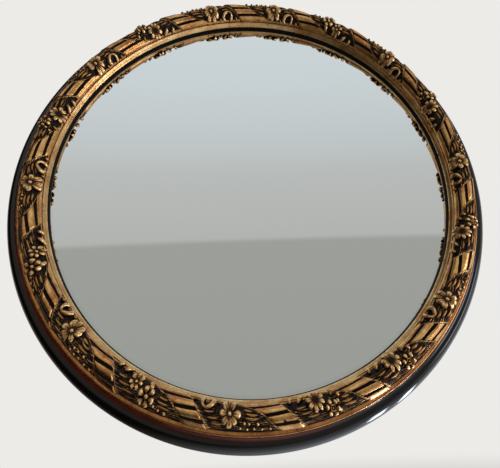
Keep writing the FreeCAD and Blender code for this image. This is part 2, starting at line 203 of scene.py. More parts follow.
closed = add_node(turning, "GeometryNodeMergeByDistance", {"Geometry": turned_grid, "Distance": 2e-6})
close_recipe(turning, given, closed)


def ellipse(centre, half_width, half_height, start, end, steps):
    """Points of an ellipse in a profile, where 0 degrees is outward and 90 is to the front."""
    turn = np.radians(np.linspace(start, end, steps + 1))
    return [(centre[0] + half_width * math.cos(t), centre[1] + half_height * math.sin(t)) for t in turn]


def turned(name, points, finish, closed_profile=True):
    """A moulding turned from the points of its profile, in steps that are too short to see."""
    if closed_profile:
        points = points + points[:1]
    mesh = follow([(r, h, 0.0) for r, h in points], [], [], turning, turning_inputs,
                  {"Steps round": 432, "Finish": finish}, name)
    return finished(mesh, name)


def distance_from_axis(tree, here):
    """How far a point lies from the axis of the ring, in metres."""
    axes = add_node(tree, "ShaderNodeSeparateXYZ", {0: here})
    flat = add_node(tree, "ShaderNodeCombineXYZ", {"X": axes.outputs["X"], "Y": axes.outputs["Z"]})
    return add_node(tree, "ShaderNodeVectorMath", {0: flat}, operation="LENGTH")


def along_segments(tree, here):
    """The place with each of the eight segments turned upright; also its eighth and its number."""
    eighth_turn = math.pi / 4
    axes = add_node(tree, "ShaderNodeSeparateXYZ", {0: here})
    angle = add_node(tree, "ShaderNodeMath", {0: axes.outputs["Z"], 1: axes.outputs["X"]},
                     operation="ARCTAN2")
    eighth = add_node(tree, "ShaderNodeMath", {0: angle, 1: eighth_turn}, operation="DIVIDE")
    segment = add_node(tree, "ShaderNodeMath", {0: eighth}, operation="FLOOR")
    middle = add_node(tree, "ShaderNodeMath", {0: segment, 1: eighth_turn, 2: eighth_turn / 2},
                      operation="MULTIPLY_ADD")
    straight = add_node(tree, "ShaderNodeVectorRotate", {"Vector": here, "Angle": middle},
                        rotation_type="Y_AXIS")
    return straight, eighth, segment


# French polish over black stain: near black, deep gloss, with a trace of the straight grain of
# each segment. Low on the left the hollow is painted red-brown, a painted reflection of the warm gilding
# beside it.
ebony_polish, tree = new_material("french polished ebonised beech")
here = add_node(tree, "ShaderNodeTexCoord").outputs["Object"]
radius = distance_from_axis(tree, here)
straight = along_segments(tree, here)[0]
grain_place = add_node(tree, "ShaderNodeMapping", {"Vector": straight, "Scale": (420.0, 420.0, 14.0)})
grain = add_node(tree, "ShaderNodeTexNoise", {"Vector": grain_place, "Scale": 1.0, "Detail": 3.0})
mottle = add_node(tree, "ShaderNodeTexNoise",
                  {"Vector": here, "Scale": 26.0, "Detail": 4.0, "Roughness": 0.6})
in_hollow = add_node(tree, "ShaderNodeMapRange", {"Value": radius, "From Min": 0.3362, "From Max": 0.3322},
                     interpolation_type="SMOOTHSTEP")
low_left = add_node(tree, "ShaderNodeVectorMath", {0: here, 1: (-0.545, 0.0, -0.839)},
                    operation="DOT_PRODUCT")
gilt_reflection_side = add_node(tree, "ShaderNodeMapRange", {"Value": low_left, "From Min": 0.17, "From Max": 0.28},
                   interpolation_type="SMOOTHSTEP")
# Painted reflection: the mottled red-brown in the lower left of the hollow stands for the gilding reflected
# there.
gilt_reflection_band = add_node(tree, "ShaderNodeMath", {0: in_hollow, 1: gilt_reflection_side}, operation="MULTIPLY")
mottled = add_node(tree, "ShaderNodeMath", {0: gilt_reflection_band, 1: mottle}, operation="MULTIPLY")
black = add_node(tree, "ShaderNodeMix", {0: grain, 6: linear("#050404"), 7: linear("#0B0706")},
                 data_type="RGBA")
stain_and_gilt_reflection = add_node(tree, "ShaderNodeMix", {0: mottled, 6: black, 7: linear("#5A2412")}, data_type="RGBA")
dull = add_node(tree, "ShaderNodeMapRange", {"Value": mottle, "To Min": 0.07, "To Max": 0.17})
ripple = add_node(tree, "ShaderNodeBump", {"Height": mottle, "Strength": 0.05, "Distance": 0.002})
surface(tree, add_node(tree, "ShaderNodeBsdfPrincipled", {
    "Base Color": stain_and_gilt_reflection, "Roughness": dull, "IOR": 1.45, "Normal": ripple}))

# Black stain on bare wood: dry and open-grained, with the glue line of each segment joint.
ebony_stain, tree = new_material("black stained beech")
here = add_node(tree, "ShaderNodeTexCoord").outputs["Object"]
straight, eighth, segment = along_segments(tree, here)
shifted = add_node(tree, "ShaderNodeCombineXYZ", {"X": segment, "Y": segment})
grain_place = add_node(tree, "ShaderNodeMapping",
                       {"Vector": straight, "Location": shifted, "Scale": (300.0, 300.0, 12.0)})
grain = add_node(tree, "ShaderNodeTexNoise",
                 {"Vector": grain_place, "Scale": 1.0, "Detail": 5.0, "Roughness": 0.6})
within = add_node(tree, "ShaderNodeMath", {0: eighth}, operation="FRACT")
centred = add_node(tree, "ShaderNodeMath", {0: within, 1: 0.5}, operation="SUBTRACT")
spread = add_node(tree, "ShaderNodeMath", {0: centred}, operation="ABSOLUTE")
joint = add_node(tree, "ShaderNodeMapRange", {"Value": spread, "From Min": 0.4975, "From Max": 0.4992})
raw = add_node(tree, "ShaderNodeMix", {0: grain, 6: linear("#0F0C0A"), 7: linear("#3A2E25")},
               data_type="RGBA")
jointed = add_node(tree, "ShaderNodeMix", {0: joint, 6: raw, 7: linear("#060504")}, data_type="RGBA")
pores = add_node(tree, "ShaderNodeBump", {"Height": grain, "Strength": 0.35, "Distance": 0.0006})
surface(tree, add_node(tree, "ShaderNodeBsdfPrincipled", {
    "Base Color": jointed, "Roughness": 0.72, "Normal": pores}))

ovolo = ellipse((337.5, 10.0), 12.5, 27.5, 0.0, 90.0, 30)
hollow = [(336.5 - 6.7 * math.sin(t), 44.0 - 5.3 * math.cos(t))
          for t in np.radians(np.linspace(0.0, 90.0, 11))]
rounded_back = ellipse((348.0, 2.0), 2.0, 2.0, -90.0, 0.0, 6)
rebate = [(293.0, 44.0), (293.0, 35.0), (298.5, 35.0), (298.5, 5.0), (308.0, 5.0)]
frame_ring = turned("ebonised_frame",
                    [(308.0, 0.0)] + rounded_back + ovolo + [(337.5, 38.7)] + hollow + rebate,
                    ebony_polish)

hanger_distance = 321.5
pocket_low, pocket_high, pocket_depth = 8.0, 86.0, 8.0
pocket_half_width, pocket_corner = 11.5, 4.0
cutter = bmesh.new()
for pocket_x in (-hanger_distance, hanger_distance):
    corners = []
    side = pocket_half_width - pocket_corner
    top, bottom = pocket_high - pocket_corner, pocket_low + pocket_corner
    for x, z, start in ((side, top, 0), (-side, top, 90), (-side, bottom, 180), (side, bottom, 270)):
        for step in range(7):
            turn = math.radians(start + 15 * step)
            corners.append(((pocket_x + x + pocket_corner * math.cos(turn)) / 1000,
                            (z + pocket_corner * math.sin(turn)) / 1000))
    floor_face = cutter.faces.new([cutter.verts.new((x, -pocket_depth / 1000, z)) for x, z in corners])
    grown = bmesh.ops.extrude_face_region(cutter, geom=[floor_face])
    for vertex in grown["geom"]:
        if isinstance(vertex, bmesh.types.BMVert):
            vertex.co.y = 0.003
router = cutter_for(frame_ring, "router", cutter)
routed_mesh = baked(frame_ring, ebony_polish)
frame_ring.modifiers.clear()
frame_ring.data = routed_mesh
bpy.data.objects.remove(router)
routed_mesh.materials.append(ebony_stain)
for face in routed_mesh.polygons:
    x, y, z = face.center * 1000
    in_pocket = (abs(abs(x) - hanger_distance) < pocket_half_width + 0.3 and y > -pocket_depth - 0.1
                 and pocket_low - 0.2 < z < pocket_high + 0.2)
    behind = math.hypot(x, z) < 348.1 and y > -5.2
    face.material_index = 1 if in_pocket or behind else 0
    face.use_smooth = True
routed_mesh.set_sharp_from_angle(angle=math.radians(32.0))
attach(frame_ring, "mirror")
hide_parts("frame_body")


# ---------- gilt mouldings ----------
# Gesso mouldings, water gilded over red bole and toned with dark wax, which stays in every groove, where
# painted shade darkens them further.
# The outer fillet and the sight fillet are turned smooth. The torus between them is cut by hand with
# three grooves into four reeds, which swell a little before each ribbon, as if the ribbon bound them.

def gilding(name, pale, deep, wax_and_shade_share, rubbed_bright):
    """Burnished leaf: warm metal, rubbed to bole in places, with dark wax and painted shade where the point
    is hollow.
    """
    material, tree = new_material(name)
    here = add_node(tree, "ShaderNodeTexCoord").outputs["Object"]
    cloud = add_node(tree, "ShaderNodeTexNoise",
                     {"Vector": here, "Scale": 42.0, "Detail": 4.0, "Roughness": 0.6})
    fine = add_node(tree, "ShaderNodeTexNoise",
                    {"Vector": here, "Scale": 330.0, "Detail": 4.0, "Roughness": 0.65})
    chips = add_node(tree, "ShaderNodeTexNoise", {"Vector": here, "Scale": 155.0, "Detail": 2.0})
    smudges = add_node(tree, "ShaderNodeTexNoise",
                       {"Vector": here, "Scale": 90.0, "Detail": 3.0, "Roughness": 0.7})
    hollows = add_node(tree, "ShaderNodeAttribute", attribute_name="hollow")
    tone = add_node(tree, "ShaderNodeMapRange", {"Value": cloud, "From Min": 0.33, "From Max": 0.62})
    leaf = add_node(tree, "ShaderNodeMix", {0: tone, 6: linear(deep), 7: linear(pale)}, data_type="RGBA")
    rub = add_node(tree, "ShaderNodeMapRange",
                   {"Value": fine, "From Min": 0.56, "From Max": 0.76, "To Max": 0.6})
    rubbed = add_node(tree, "ShaderNodeMix", {0: rub, 6: leaf, 7: linear("#6E3A1C")}, data_type="RGBA")
    polish = add_node(tree, "ShaderNodeMapRange",
                      {"Value": fine, "From Min": 0.46, "From Max": 0.30, "To Max": 0.55})
    polished = add_node(tree, "ShaderNodeMix", {0: polish, 6: rubbed, 7: linear(rubbed_bright)},
                        data_type="RGBA")
    chipped = add_node(tree, "ShaderNodeMapRange", {"Value": chips, "From Min": 0.70, "From Max": 0.75})
    uneven = add_node(tree, "ShaderNodeMath", {0: smudges, 1: 0.9, 2: -0.45}, operation="MULTIPLY_ADD")
    # Painted shade: hollow places are painted dark, along with the dark wax.
    wax_and_shade_reach = add_node(tree, "ShaderNodeMath", {0: hollows.outputs["Fac"], 1: uneven}, operation="ADD")
    wax_and_shade = add_node(tree, "ShaderNodeMapRange",
                   {"Value": wax_and_shade_reach, "From Min": 0.24, "From Max": 0.66, "To Max": wax_and_shade_share})
    dark = add_node(tree, "ShaderNodeMath", {0: wax_and_shade, 1: chipped}, operation="MAXIMUM")
    toned = add_node(tree, "ShaderNodeMapRange", {"Value": dark, "From Max": 0.45})
    brown = add_node(tree, "ShaderNodeMix", {0: toned, 6: polished, 7: linear("#5E3418")}, data_type="RGBA")
    buried = add_node(tree, "ShaderNodeMapRange", {"Value": dark, "From Min": 0.35, "From Max": 0.85})
    colour = add_node(tree, "ShaderNodeMix", {0: buried, 6: brown, 7: linear("#0E0705")}, data_type="RGBA")
    bright = add_node(tree, "ShaderNodeMapRange", {"Value": dark, "To Min": 1.0, "To Max": 0.0})
    mottled = add_node(tree, "ShaderNodeMapRange", {"Value": fine, "To Min": 0.20, "To Max": 0.44})
    dull = add_node(tree, "ShaderNodeMath", {0: dark, 1: 0.3, 2: mottled}, operation="MULTIPLY_ADD")
    relief = add_node(tree, "ShaderNodeMath", {0: chipped, 1: -0.6, 2: fine}, operation="MULTIPLY_ADD")
    skin = add_node(tree, "ShaderNodeBump", {"Height": relief, "Strength": 0.4, "Distance": 0.0008})
    surface(tree, add_node(tree, "ShaderNodeBsdfPrincipled", {
        "Base Color": colour, "Metallic": bright, "Roughness": dull,
        "Specular IOR Level": 0.25, "Normal": skin}))
    return material


# The outer fillet's gilding is a darker copy of the gilding: painted shade, for the darker light on the outer
# band.
shaded_outer_gilding = gilding("darker gilding over bole, painted shade", "#E49E5C", "#A8643A", 0.9, "#F8CC8C")

outer_fillet = turned("outer_gilding", [
    (324.2, 44.05), (329.3, 44.05), (329.3, 47.4), (329.1, 48.0), (328.6, 48.45), (328.0, 48.6),
    (327.7, 48.3), (327.5, 48.0), (325.6, 48.2), (324.2, 48.3)], shaded_outer_gilding)
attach(outer_fillet, "mirror")
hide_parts("outer_gilt_fillet")

# The sight fillet's gilding is a paler copy of the gilding: painted light.
plain_gilding = gilding("water gilding on turned gesso", "#F8D092", "#CC9050", 0.9, "#FFF0C4")

bead = ellipse((294.35, 47.0), 0.9, 1.0, 15.0, 180.0, 8)
sweep = [(290.5 + 2.95 * s, 41.0 + 5.7 * s ** 0.62) for s in np.linspace(0.0, 1.0, 10)]
sight = turned("sight_gilding", [(290.5, 40.05), (292.9, 40.05), (292.9, 44.05), (295.3, 44.05)]
               + bead + list(reversed(sweep)), plain_gilding)
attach(sight, "mirror")
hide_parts("sight_fillet")

torus_radius = 309.75
torus_half_width = 14.35
torus_shoulder = 50.0
torus_rise = 17.5
repeat_degrees = 20.0
first_degrees = 13.6
bed_low, bed_high = 12.0, 168.0
bed_depth = 2.4
groove_places = (41.0, 81.0, 122.0)
groove_half = 6.6
groove_depth = 2.5
# How far the grooves of each segment lie from their places, after one ribbon and before the next.
groove_drifts = ((3, 7), (7, 7), (9, -2), (2, -1), (-3, -2), (4, 5), (6, 3), (0, 4), (7, 1),
                 (3, 0), (0, -8), (2, -5), (-2, -9), (-6, -1), (2, 6), (-2, -16), (-3, -4), (-6, -1))


def ramp(value, low, high):
    """A smooth step from 0 to 1 between two values."""
    share = min(1.0, max(0.0, (value - low) / (high - low)))
    return share * share * (3.0 - 2.0 * share)


def ribbon_start(t):
    """Where a ribbon begins, in degrees after its first angle, at t degrees over the torus."""
    return float(np.interp(t, (0, 20, 41, 81, 122, 150, 180), (0.0, 0.25, 0.85, 2.45, 4.15, 5.0, 5.4)))


def ribbon_end(t):
    """Where a ribbon ends, in degrees after its first angle."""
    return float(np.interp(t, (0, 15, 30, 41, 50, 60, 81, 122, 150, 180),
                           (9.9, 10.6, 12.0, 13.6, 14.8, 15.7, 17.2, 19.0, 20.0, 20.4)))


def reed_lift(t):
    """Height of the reeds over the plain torus, in millimetres, and how dark it is painted: dark wax and
    painted shade in the grooves, and darker towards the outer flank.
    """
    borders = (-8.0,) + groove_places + (188.0,)
    for low, high in zip(borders, borders[1:]):
        if low <= t <= high:
            start = low + (groove_half if low > 0 else 0.0)
            end = high - (groove_half if high < 180 else 0.0)
            break
    else:
        return 0.0, 0.8
    if t < start or t > end:
        groove = low if t < start else high
        depth = 1.0 - (abs(t - groove) / groove_half) ** 2
        return -groove_depth * depth, 0.5 + 0.5 * depth ** 0.5
    share = 2.0 * (t - start) / (end - start) - 1.0
    # The outer flank is painted darker too.
    low_flank = 0.5 * ramp(t, 136.0, 178.0)
    return 0.9 * (1.0 - share ** 4), max(0.5 * abs(share) ** 7, low_flank)


def ribbed_rows():
    """Degrees over the torus at which the sheet has a row: close together at each groove."""
    rows = [-59.5, -30.0, -2.0, 3.0, 8.0, bed_low - 0.2, bed_low + 0.2, 17.0, 23.0, 29.0]
    for groove in groove_places:
        half = (0.35, 0.6, 0.8, 0.97, 1.1, 1.4)
        rows += [groove] + [groove + side * groove_half * share for share in half for side in (-1, 1)]
    for low, high in zip(groove_places, groove_places[1:]):
        rows += [low + (high - low) * share for share in (0.33, 0.5, 0.67)]
    rows += [137.0, 143.0, 150.0, 158.0, bed_high - 0.2, bed_high + 0.2, 172.0, 177.0, 182.0, 210.0, 239.5]
    return sorted(rows)


wrapping, given, wrapping_inputs = new_recipe("wrap a flat sheet over the torus", (
    ("Sheet", "NodeSocketGeometry"), ("First angle", "NodeSocketFloat"), ("Unevenness", "NodeSocketFloat"),
    ("Finish", "NodeSocketMaterial")))
place = add_node(wrapping, "GeometryNodeInputPosition")
flat = add_node(wrapping, "ShaderNodeSeparateXYZ", {0: place})
turned_on = add_node(wrapping, "ShaderNodeMath", {0: flat.outputs["X"], 1: given.outputs["First angle"]},
                     operation="ADD")
around = add_node(wrapping, "ShaderNodeMath", {0: turned_on}, operation="RADIANS")
clamped = add_node(wrapping, "ShaderNodeClamp", {"Value": flat.outputs["Y"], "Min": 0.0, "Max": 180.0})
over = add_node(wrapping, "ShaderNodeMath", {0: clamped}, operation="RADIANS")
beyond = add_node(wrapping, "ShaderNodeMath", {0: flat.outputs["Y"], 1: clamped}, operation="SUBTRACT")
past = add_node(wrapping, "ShaderNodeMath", {0: beyond}, operation="ABSOLUTE")
wide = add_node(wrapping, "ShaderNodeMath", {0: flat.outputs["Z"], 1: torus_half_width}, operation="ADD")
tall = add_node(wrapping, "ShaderNodeMath", {0: flat.outputs["Z"], 1: torus_rise}, operation="ADD")
cosine = add_node(wrapping, "ShaderNodeMath", {0: over}, operation="COSINE")
sine = add_node(wrapping, "ShaderNodeMath", {0: over}, operation="SINE")
inward = add_node(wrapping, "ShaderNodeMath", {0: cosine, 1: wide}, operation="MULTIPLY")
radius = add_node(wrapping, "ShaderNodeMath", {0: torus_radius, 1: inward}, operation="SUBTRACT")
crest = add_node(wrapping, "ShaderNodeMath", {0: sine, 1: tall, 2: torus_shoulder}, operation="MULTIPLY_ADD")
height = add_node(wrapping, "ShaderNodeMath", {0: past, 1: -0.1, 2: crest}, operation="MULTIPLY_ADD")
metres = placed_round(wrapping, radius, height, around)
wrapped = add_node(wrapping, "GeometryNodeSetPosition",
                   {"Geometry": given.outputs["Sheet"], "Position": metres})
hand = add_node(wrapping, "ShaderNodeTexNoise", {"Scale": 60.0, "Detail": 2.0})
wobble = add_node(wrapping, "ShaderNodeVectorMath", {0: hand.outputs["Color"], 1: (0.5, 0.5, 0.5)},
                  operation="SUBTRACT")
moved = add_node(wrapping, "ShaderNodeVectorMath", {0: wobble, "Scale": given.outputs["Unevenness"]},
                 operation="SCALE")
uneven = add_node(wrapping, "GeometryNodeSetPosition", {"Geometry": wrapped, "Offset": moved})
merged = add_node(wrapping, "GeometryNodeMergeByDistance", {"Geometry": uneven, "Distance": 2e-6})
close_recipe(wrapping, given, merged)


def sheet_mesh(rows, columns, point_at):
    """Points, faces and one number for each point of a flat sheet of rows and columns."""
    points, numbers, faces = [], [], []
    for column in columns:
        for row in rows:
            point, number = point_at(column, row)
            points.append(point)
            numbers.append(number)
    count = len(rows)
    for left in range(len(columns) - 1):
        for low in range(count - 1):
            corner = left * count + low
            faces.append((corner, corner + count, corner + count + 1, corner + 1))
    return points, faces, numbers


def reed_point(column, t):
    """A point of one repeat: the bed of a ribbon, or the reeds between two ribbons."""
    number, zone, share = column
    first, last = groove_drifts[number]
    drift = first + (last - first) * share
    if zone == "bed":
        drift = groove_drifts[number - 1][1] * (1.0 - share) + first * share
    lift, hollowness = reed_lift(t)
    crown = math.sin(math.radians(min(180.0, max(0.0, t))))
    t += drift * crown ** 2
    start, end = ribbon_start(t), ribbon_end(t)
    if zone == "bed":
        x = start + (end - start) * share
        deep = bed_low < t < bed_high
        return (x + repeat_degrees * number, t, -bed_depth if deep else 0.0), 0.9 if deep else hollowness
    x = end + (start + repeat_degrees - end) * share
    swell = (0.35 + 0.5 * math.sin(math.pi * share) + 2.3 * share ** 2) * crown
    swell -= ramp(share, 0.955, 1.0)
    lift = lift * (1.0 - 0.35 * ramp(share, 0.96, 1.0)) + swell - 0.9 * (1.0 - ramp(share, 0.0, 0.14)) * crown
    # Next to each ribbon the reeds are painted darker: dark wax and painted shade.
    beside = max(0.55 * (1.0 - ramp(share, 0.0, 0.08)), 0.25 * ramp(share, 0.99, 1.0))
    return (x + repeat_degrees * number, t, lift), max(hollowness, beside if t > bed_low else hollowness)


bed_shares = (0.0, 0.004, 0.25, 0.5, 0.75, 0.996)
reed_shares = (0.0, 0.03, 0.07, 0.13, 0.2, 0.3, 0.4, 0.5, 0.6, 0.7, 0.79, 0.86, 0.92, 0.95, 0.97, 0.985, 1.0)
reed_columns = []
for number in range(18):
    reed_columns += [(number, "bed", share) for share in bed_shares]
    reed_columns += [(number, "reeds", share) for share in reed_shares]
reed_columns.append((0, "bed", 0.0))
points, faces, hollows = sheet_mesh(ribbed_rows(), reed_columns, reed_point)
reed_gilding = gilding("water gilding on cut reeding", "#F5BE76", "#B8733C", 0.98, "#FFE4AC")
mesh = follow(points, [], faces, wrapping, wrapping_inputs,
              {"First angle": first_degrees, "Unevenness": 0.0008, "Finish": reed_gilding}, "reeds",
              {"hollow": hollows})
base = bmesh.new()
base.from_mesh(mesh)
bmesh.ops.remove_doubles(base, verts=base.verts, dist=5e-6)
bmesh.ops.bridge_loops(base, edges=[edge for edge in base.edges if edge.is_boundary])
base.to_mesh(mesh)
base.free()
reeds = finished(mesh, "gilt_reeding", 38.0)
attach(reeds, "mirror")
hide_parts("reeded_torus")


# ---------- ribbon castings ----------
# Eighteen castings of composition, pressed in moulds and glued into the beds of the torus. Each is
# a ribbon with a dark ground, waxed and painted as shade, and thin gilt edges, that carries leaves, berries
# and flowers.
# Nine have a pair of flowers, and nine have one long-petalled flower and a hooked leaf.

def composition_finish():
    """Bronzed composition: gold rubbed on all that stands proud, with painted highlights on the highest
    crests; dark wax and painted shade in the rest.
    """
    material, tree = new_material("bronzed composition with dark wax")
    here = add_node(tree, "ShaderNodeTexCoord").outputs["Object"]
    fine = add_node(tree, "ShaderNodeTexNoise",
                    {"Vector": here, "Scale": 420.0, "Detail": 4.0, "Roughness": 0.65})
    cloud = add_node(tree, "ShaderNodeTexNoise", {"Vector": here, "Scale": 70.0, "Detail": 3.0})
    proud = add_node(tree, "ShaderNodeAttribute", attribute_name="proud")
    uneven = add_node(tree, "ShaderNodeMath", {0: fine, 1: 0.5, 2: -0.25}, operation="MULTIPLY_ADD")
    reach = add_node(tree, "ShaderNodeMath", {0: proud.outputs["Fac"], 1: uneven}, operation="ADD")
    # Painted shade and highlight: what stands low is painted dark, and what stands highest is painted paler,
    # as well as rubbed.
    rub = add_node(tree, "ShaderNodeMapRange", {"Value": reach, "From Min": 0.30, "From Max": 0.80},
                   interpolation_type="SMOOTHSTEP")
    crest = add_node(tree, "ShaderNodeMapRange", {"Value": reach, "From Min": 0.80, "From Max": 1.10})
    gold = add_node(tree, "ShaderNodeMix", {0: cloud, 6: linear("#96602F"), 7: linear("#D89F5E")},
                    data_type="RGBA")
    shine = add_node(tree, "ShaderNodeMix", {0: crest, 6: gold, 7: linear("#FCD498")}, data_type="RGBA")
    colour = add_node(tree, "ShaderNodeMix", {0: rub, 6: linear("#100805"), 7: shine}, data_type="RGBA")
    mottled = add_node(tree, "ShaderNodeMapRange", {"Value": fine, "To Min": 0.20, "To Max": 0.40})
    dull = add_node(tree, "ShaderNodeMapRange", {"Value": rub, "To Min": 0.62, "To Max": mottled})
    skin = add_node(tree, "ShaderNodeBump", {"Height": fine, "Strength": 0.3, "Distance": 0.0006})
    surface(tree, add_node(tree, "ShaderNodeBsdfPrincipled", {
        "Base Color": colour, "Metallic": rub, "Roughness": dull, "Specular IOR Level": 0.25,
        "Normal": skin}))
    return material


composition = composition_finish()

petalling, given, petalling_inputs = new_recipe("set petals round a flower", (
    ("Petal", "NodeSocketGeometry"), ("Petals", "NodeSocketInt"), ("Unevenness", "NodeSocketFloat"),
    ("Seed", "NodeSocketInt"), ("Finish", "NodeSocketMaterial")))
stations = add_node(petalling, "GeometryNodePoints", {"Count": given.outputs["Petals"]})
index = add_node(petalling, "GeometryNodeInputIndex")
share = add_node(petalling, "ShaderNodeMath", {0: index, 1: given.outputs["Petals"]}, operation="DIVIDE")
even = add_node(petalling, "ShaderNodeMath", {0: share, 1: 2 * math.pi}, operation="MULTIPLY")
least = add_node(petalling, "ShaderNodeMath", {0: given.outputs["Unevenness"], 1: -1.0}, operation="MULTIPLY")
turn = add_node(petalling, "FunctionNodeRandomValue",
                {2: least, 3: given.outputs["Unevenness"], "Seed": given.outputs["Seed"]}, data_type="FLOAT")
angle = add_node(petalling, "ShaderNodeMath", {0: even, 1: turn}, operation="ADD")
facing = add_node(petalling, "ShaderNodeCombineXYZ", {"Z": angle})
other_seed = add_node(petalling, "ShaderNodeMath", {0: given.outputs["Seed"], 1: 17.0}, operation="ADD")
short = add_node(petalling, "ShaderNodeMath", {0: 1.0, 1: given.outputs["Unevenness"]}, operation="SUBTRACT")
length = add_node(petalling, "FunctionNodeRandomValue", {2: short, 3: 1.04, "Seed": other_seed},
                  data_type="FLOAT")
laid = add_node(petalling, "GeometryNodeInstanceOnPoints", {
    "Points": stations, "Instance": given.outputs["Petal"], "Rotation": facing, "Scale": length})
close_recipe(petalling, given, laid)

rodding, given, rodding_inputs = new_recipe("draw a tapered rod along a line", (
    ("Line", "NodeSocketGeometry"), ("Sides", "NodeSocketInt"), ("Finish", "NodeSocketMaterial")))
line = add_node(rodding, "GeometryNodeMeshToCurve", {"Mesh": given.outputs["Line"]})
thick = add_node(rodding, "GeometryNodeInputNamedAttribute", {"Name": "thickness"}, data_type="FLOAT")
ring = add_node(rodding, "GeometryNodeCurvePrimitiveCircle",
                {"Resolution": given.outputs["Sides"], "Radius": 1.0})
rod = add_node(rodding, "GeometryNodeCurveToMesh",
               {"Curve": line, "Profile Curve": ring, "Scale": thick, "Fill Caps": True})
close_recipe(rodding, given, rod)

# Millimetres over the torus's profile up to each whole degree, to lay flat shapes over it, and the
# millimetres of one degree round the ring.
arc_degrees = np.arange(0.0, 181.0)
arc_steps = np.hypot(torus_half_width * np.sin(np.radians(arc_degrees)),
                     torus_rise * np.cos(np.radians(arc_degrees)))
arc_lengths = np.cumsum(arc_steps) * math.pi / 180
degree_width = torus_radius * math.pi / 180


def on_torus(degrees, t, lift=0.0):
    """A point over the torus in metres, at an angle round the ring and at t degrees over it."""
    turn, over = math.radians(degrees), math.radians(t)
    reach = torus_radius - math.cos(over) * (torus_half_width + lift)
    return Vector((reach * math.cos(turn), -torus_shoulder - math.sin(over) * (torus_rise + lift),
                   reach * math.sin(turn))) / 1000


def laid_over_torus(parts, degrees, t, lift, spin=0.0, drawn=1.0):
    """Lays flat parts over the torus, drawn out towards the glass. Flat, x is outward and y around."""
    points, faces, proud = parts
    start = float(np.interp(t, arc_degrees, arc_lengths))
    placed = []
    for x, y, z in points:
        x, y = x * math.cos(spin) - y * math.sin(spin), x * math.sin(spin) + y * math.cos(spin)
        x *= 1.0 + (drawn - 1.0) * ramp(-x, 1.0, 7.0)
        here = float(np.interp(start + x, arc_lengths, arc_degrees))
        placed.append(on_torus(degrees + y / degree_width, max(1.0, here), lift + z))
    return placed, faces, proud


def petal_mesh(length, width, rise, crease, root, plump):
    """One petal along +X: plump, creased down its middle, round at its tip, with solid sides."""
    along, across = 11, 8
    droop, sunk_to = 1.0, -4.5
    points, proud, faces = [], [], []
    for step in range(along + 1):
        share = step / along
        reach = root + (length - root) * share
        taper = max(0.0, (share - 0.62) / 0.38) ** 2.4
        body = (0.5 + 0.5 * ramp(share, 0.0, 0.62)) * math.sqrt(max(0.03, 1.0 - taper))
        spine = rise * math.sin(math.pi * (0.12 + 0.6 * share)) - droop * share ** 2.2
        towards_tip = 0.35 + 0.75 * ramp(share, 0.05, 0.6)
        for side in range(across + 1):
            place = 2 * side / across - 1
            crown = plump * body * math.sqrt(max(0.0, 1 - place * place))
            fold = crease * math.exp(-(place / 0.26) ** 2) * math.sin(math.pi * min(1.0, share + 0.1))
            points.append((reach, width / 2 * body * place, spine + crown - fold))
            # Proudness paints shade at the petal's edges, down its crease and at its root, and rubbed gold
            # with a painted highlight along its crown.
            edge = 1.0 - abs(place) ** 2.4
            proud.append(max(0.0, min(1.15, (0.10 + 1.1 * edge) * towards_tip - 0.8 * fold)))
    row = across + 1
    for step in range(along):
        for side in range(across):
            corner = step * row + side
            faces.append((corner, corner + row, corner + row + 1, corner + 1))
    rim = [step * row for step in range(along + 1)] + [along * row + side for side in range(1, row)]
    rim += [step * row + across for step in range(along - 1, -1, -1)]
    rim += range(across - 1, 0, -1)
    foot = len(points)
    for corner in rim:
        x, y, z = points[corner]
        points.append((root + (x - root) * 0.94, y * 0.86, sunk_to))
        proud.append(0.0)
    for number in range(len(rim)):
        after = (number + 1) % len(rim)
        faces.append((rim[number], rim[after], foot + after, foot + number))
    faces.append(tuple(range(foot, foot + len(rim))))
    return points, faces, proud


class Casting:
    """Gathers the points, faces and proudness of one casting, in metres."""

    def __init__(self):
        self.points, self.faces, self.proud = [], [], []

    def add(self, points, faces, proud):
        start = len(self.points)
        self.points += [tuple(point) for point in points]
        self.faces += [tuple(start + corner for corner in face) for face in faces]
        self.proud += list(proud)


def take_apart(mesh, label=None):
    """Points, faces and one attribute of a mesh that a recipe made; the mesh is then dropped."""
    points = [vertex.co.copy() for vertex in mesh.vertices]
    faces = [tuple(face.vertices) for face in mesh.polygons]
    numbers = [0.0] * len(points)
    if label and label in mesh.attributes:
        mesh.attributes[label].data.foreach_get("value", numbers)
    bpy.data.meshes.remove(mesh)
    return points, faces, numbers


def boss(radius, outline, sides=16):
    """A round boss, berry or dish, turned from (share of radius, height, proudness) on a sunk stem."""
    stem = (0.85, -3.5, 0.0)
    points, proud, faces = [(0.0, 0.0, outline[0][1])], [outline[0][2]], []
    for share, height, tone in list(outline[1:]) + [stem]:
        for side in range(sides):
            spin = 2 * math.pi * side / sides
            points.append((share * radius * math.cos(spin), share * radius * math.sin(spin), height))
            proud.append(tone)
    for side in range(sides):
        after = (side + 1) % sides
        faces.append((0, 1 + side, 1 + after))
        for ring in range(len(outline) - 1):
            low = 1 + ring * sides
            faces.append((low + side, low + sides + side, low + sides + after, low + after))
    foot = 1 + (len(outline) - 1) * sides
    faces.append(tuple(foot + side for side in reversed(range(sides))))
    return points, faces, proud


def dome(radius, height, proud_top=1.1):
    """Half a ball, painted pale on top as rubbed gold and highlight, and dark at its foot as painted shade.
    """
    outline = []
    for ring in range(6):
        turn = math.pi / 2 * ring / 5
        outline.append((math.sin(turn), height * math.cos(turn),
                        proud_top * (1.0 - 0.85 * math.sin(turn) ** 4)))
    return boss(radius, outline, 12)


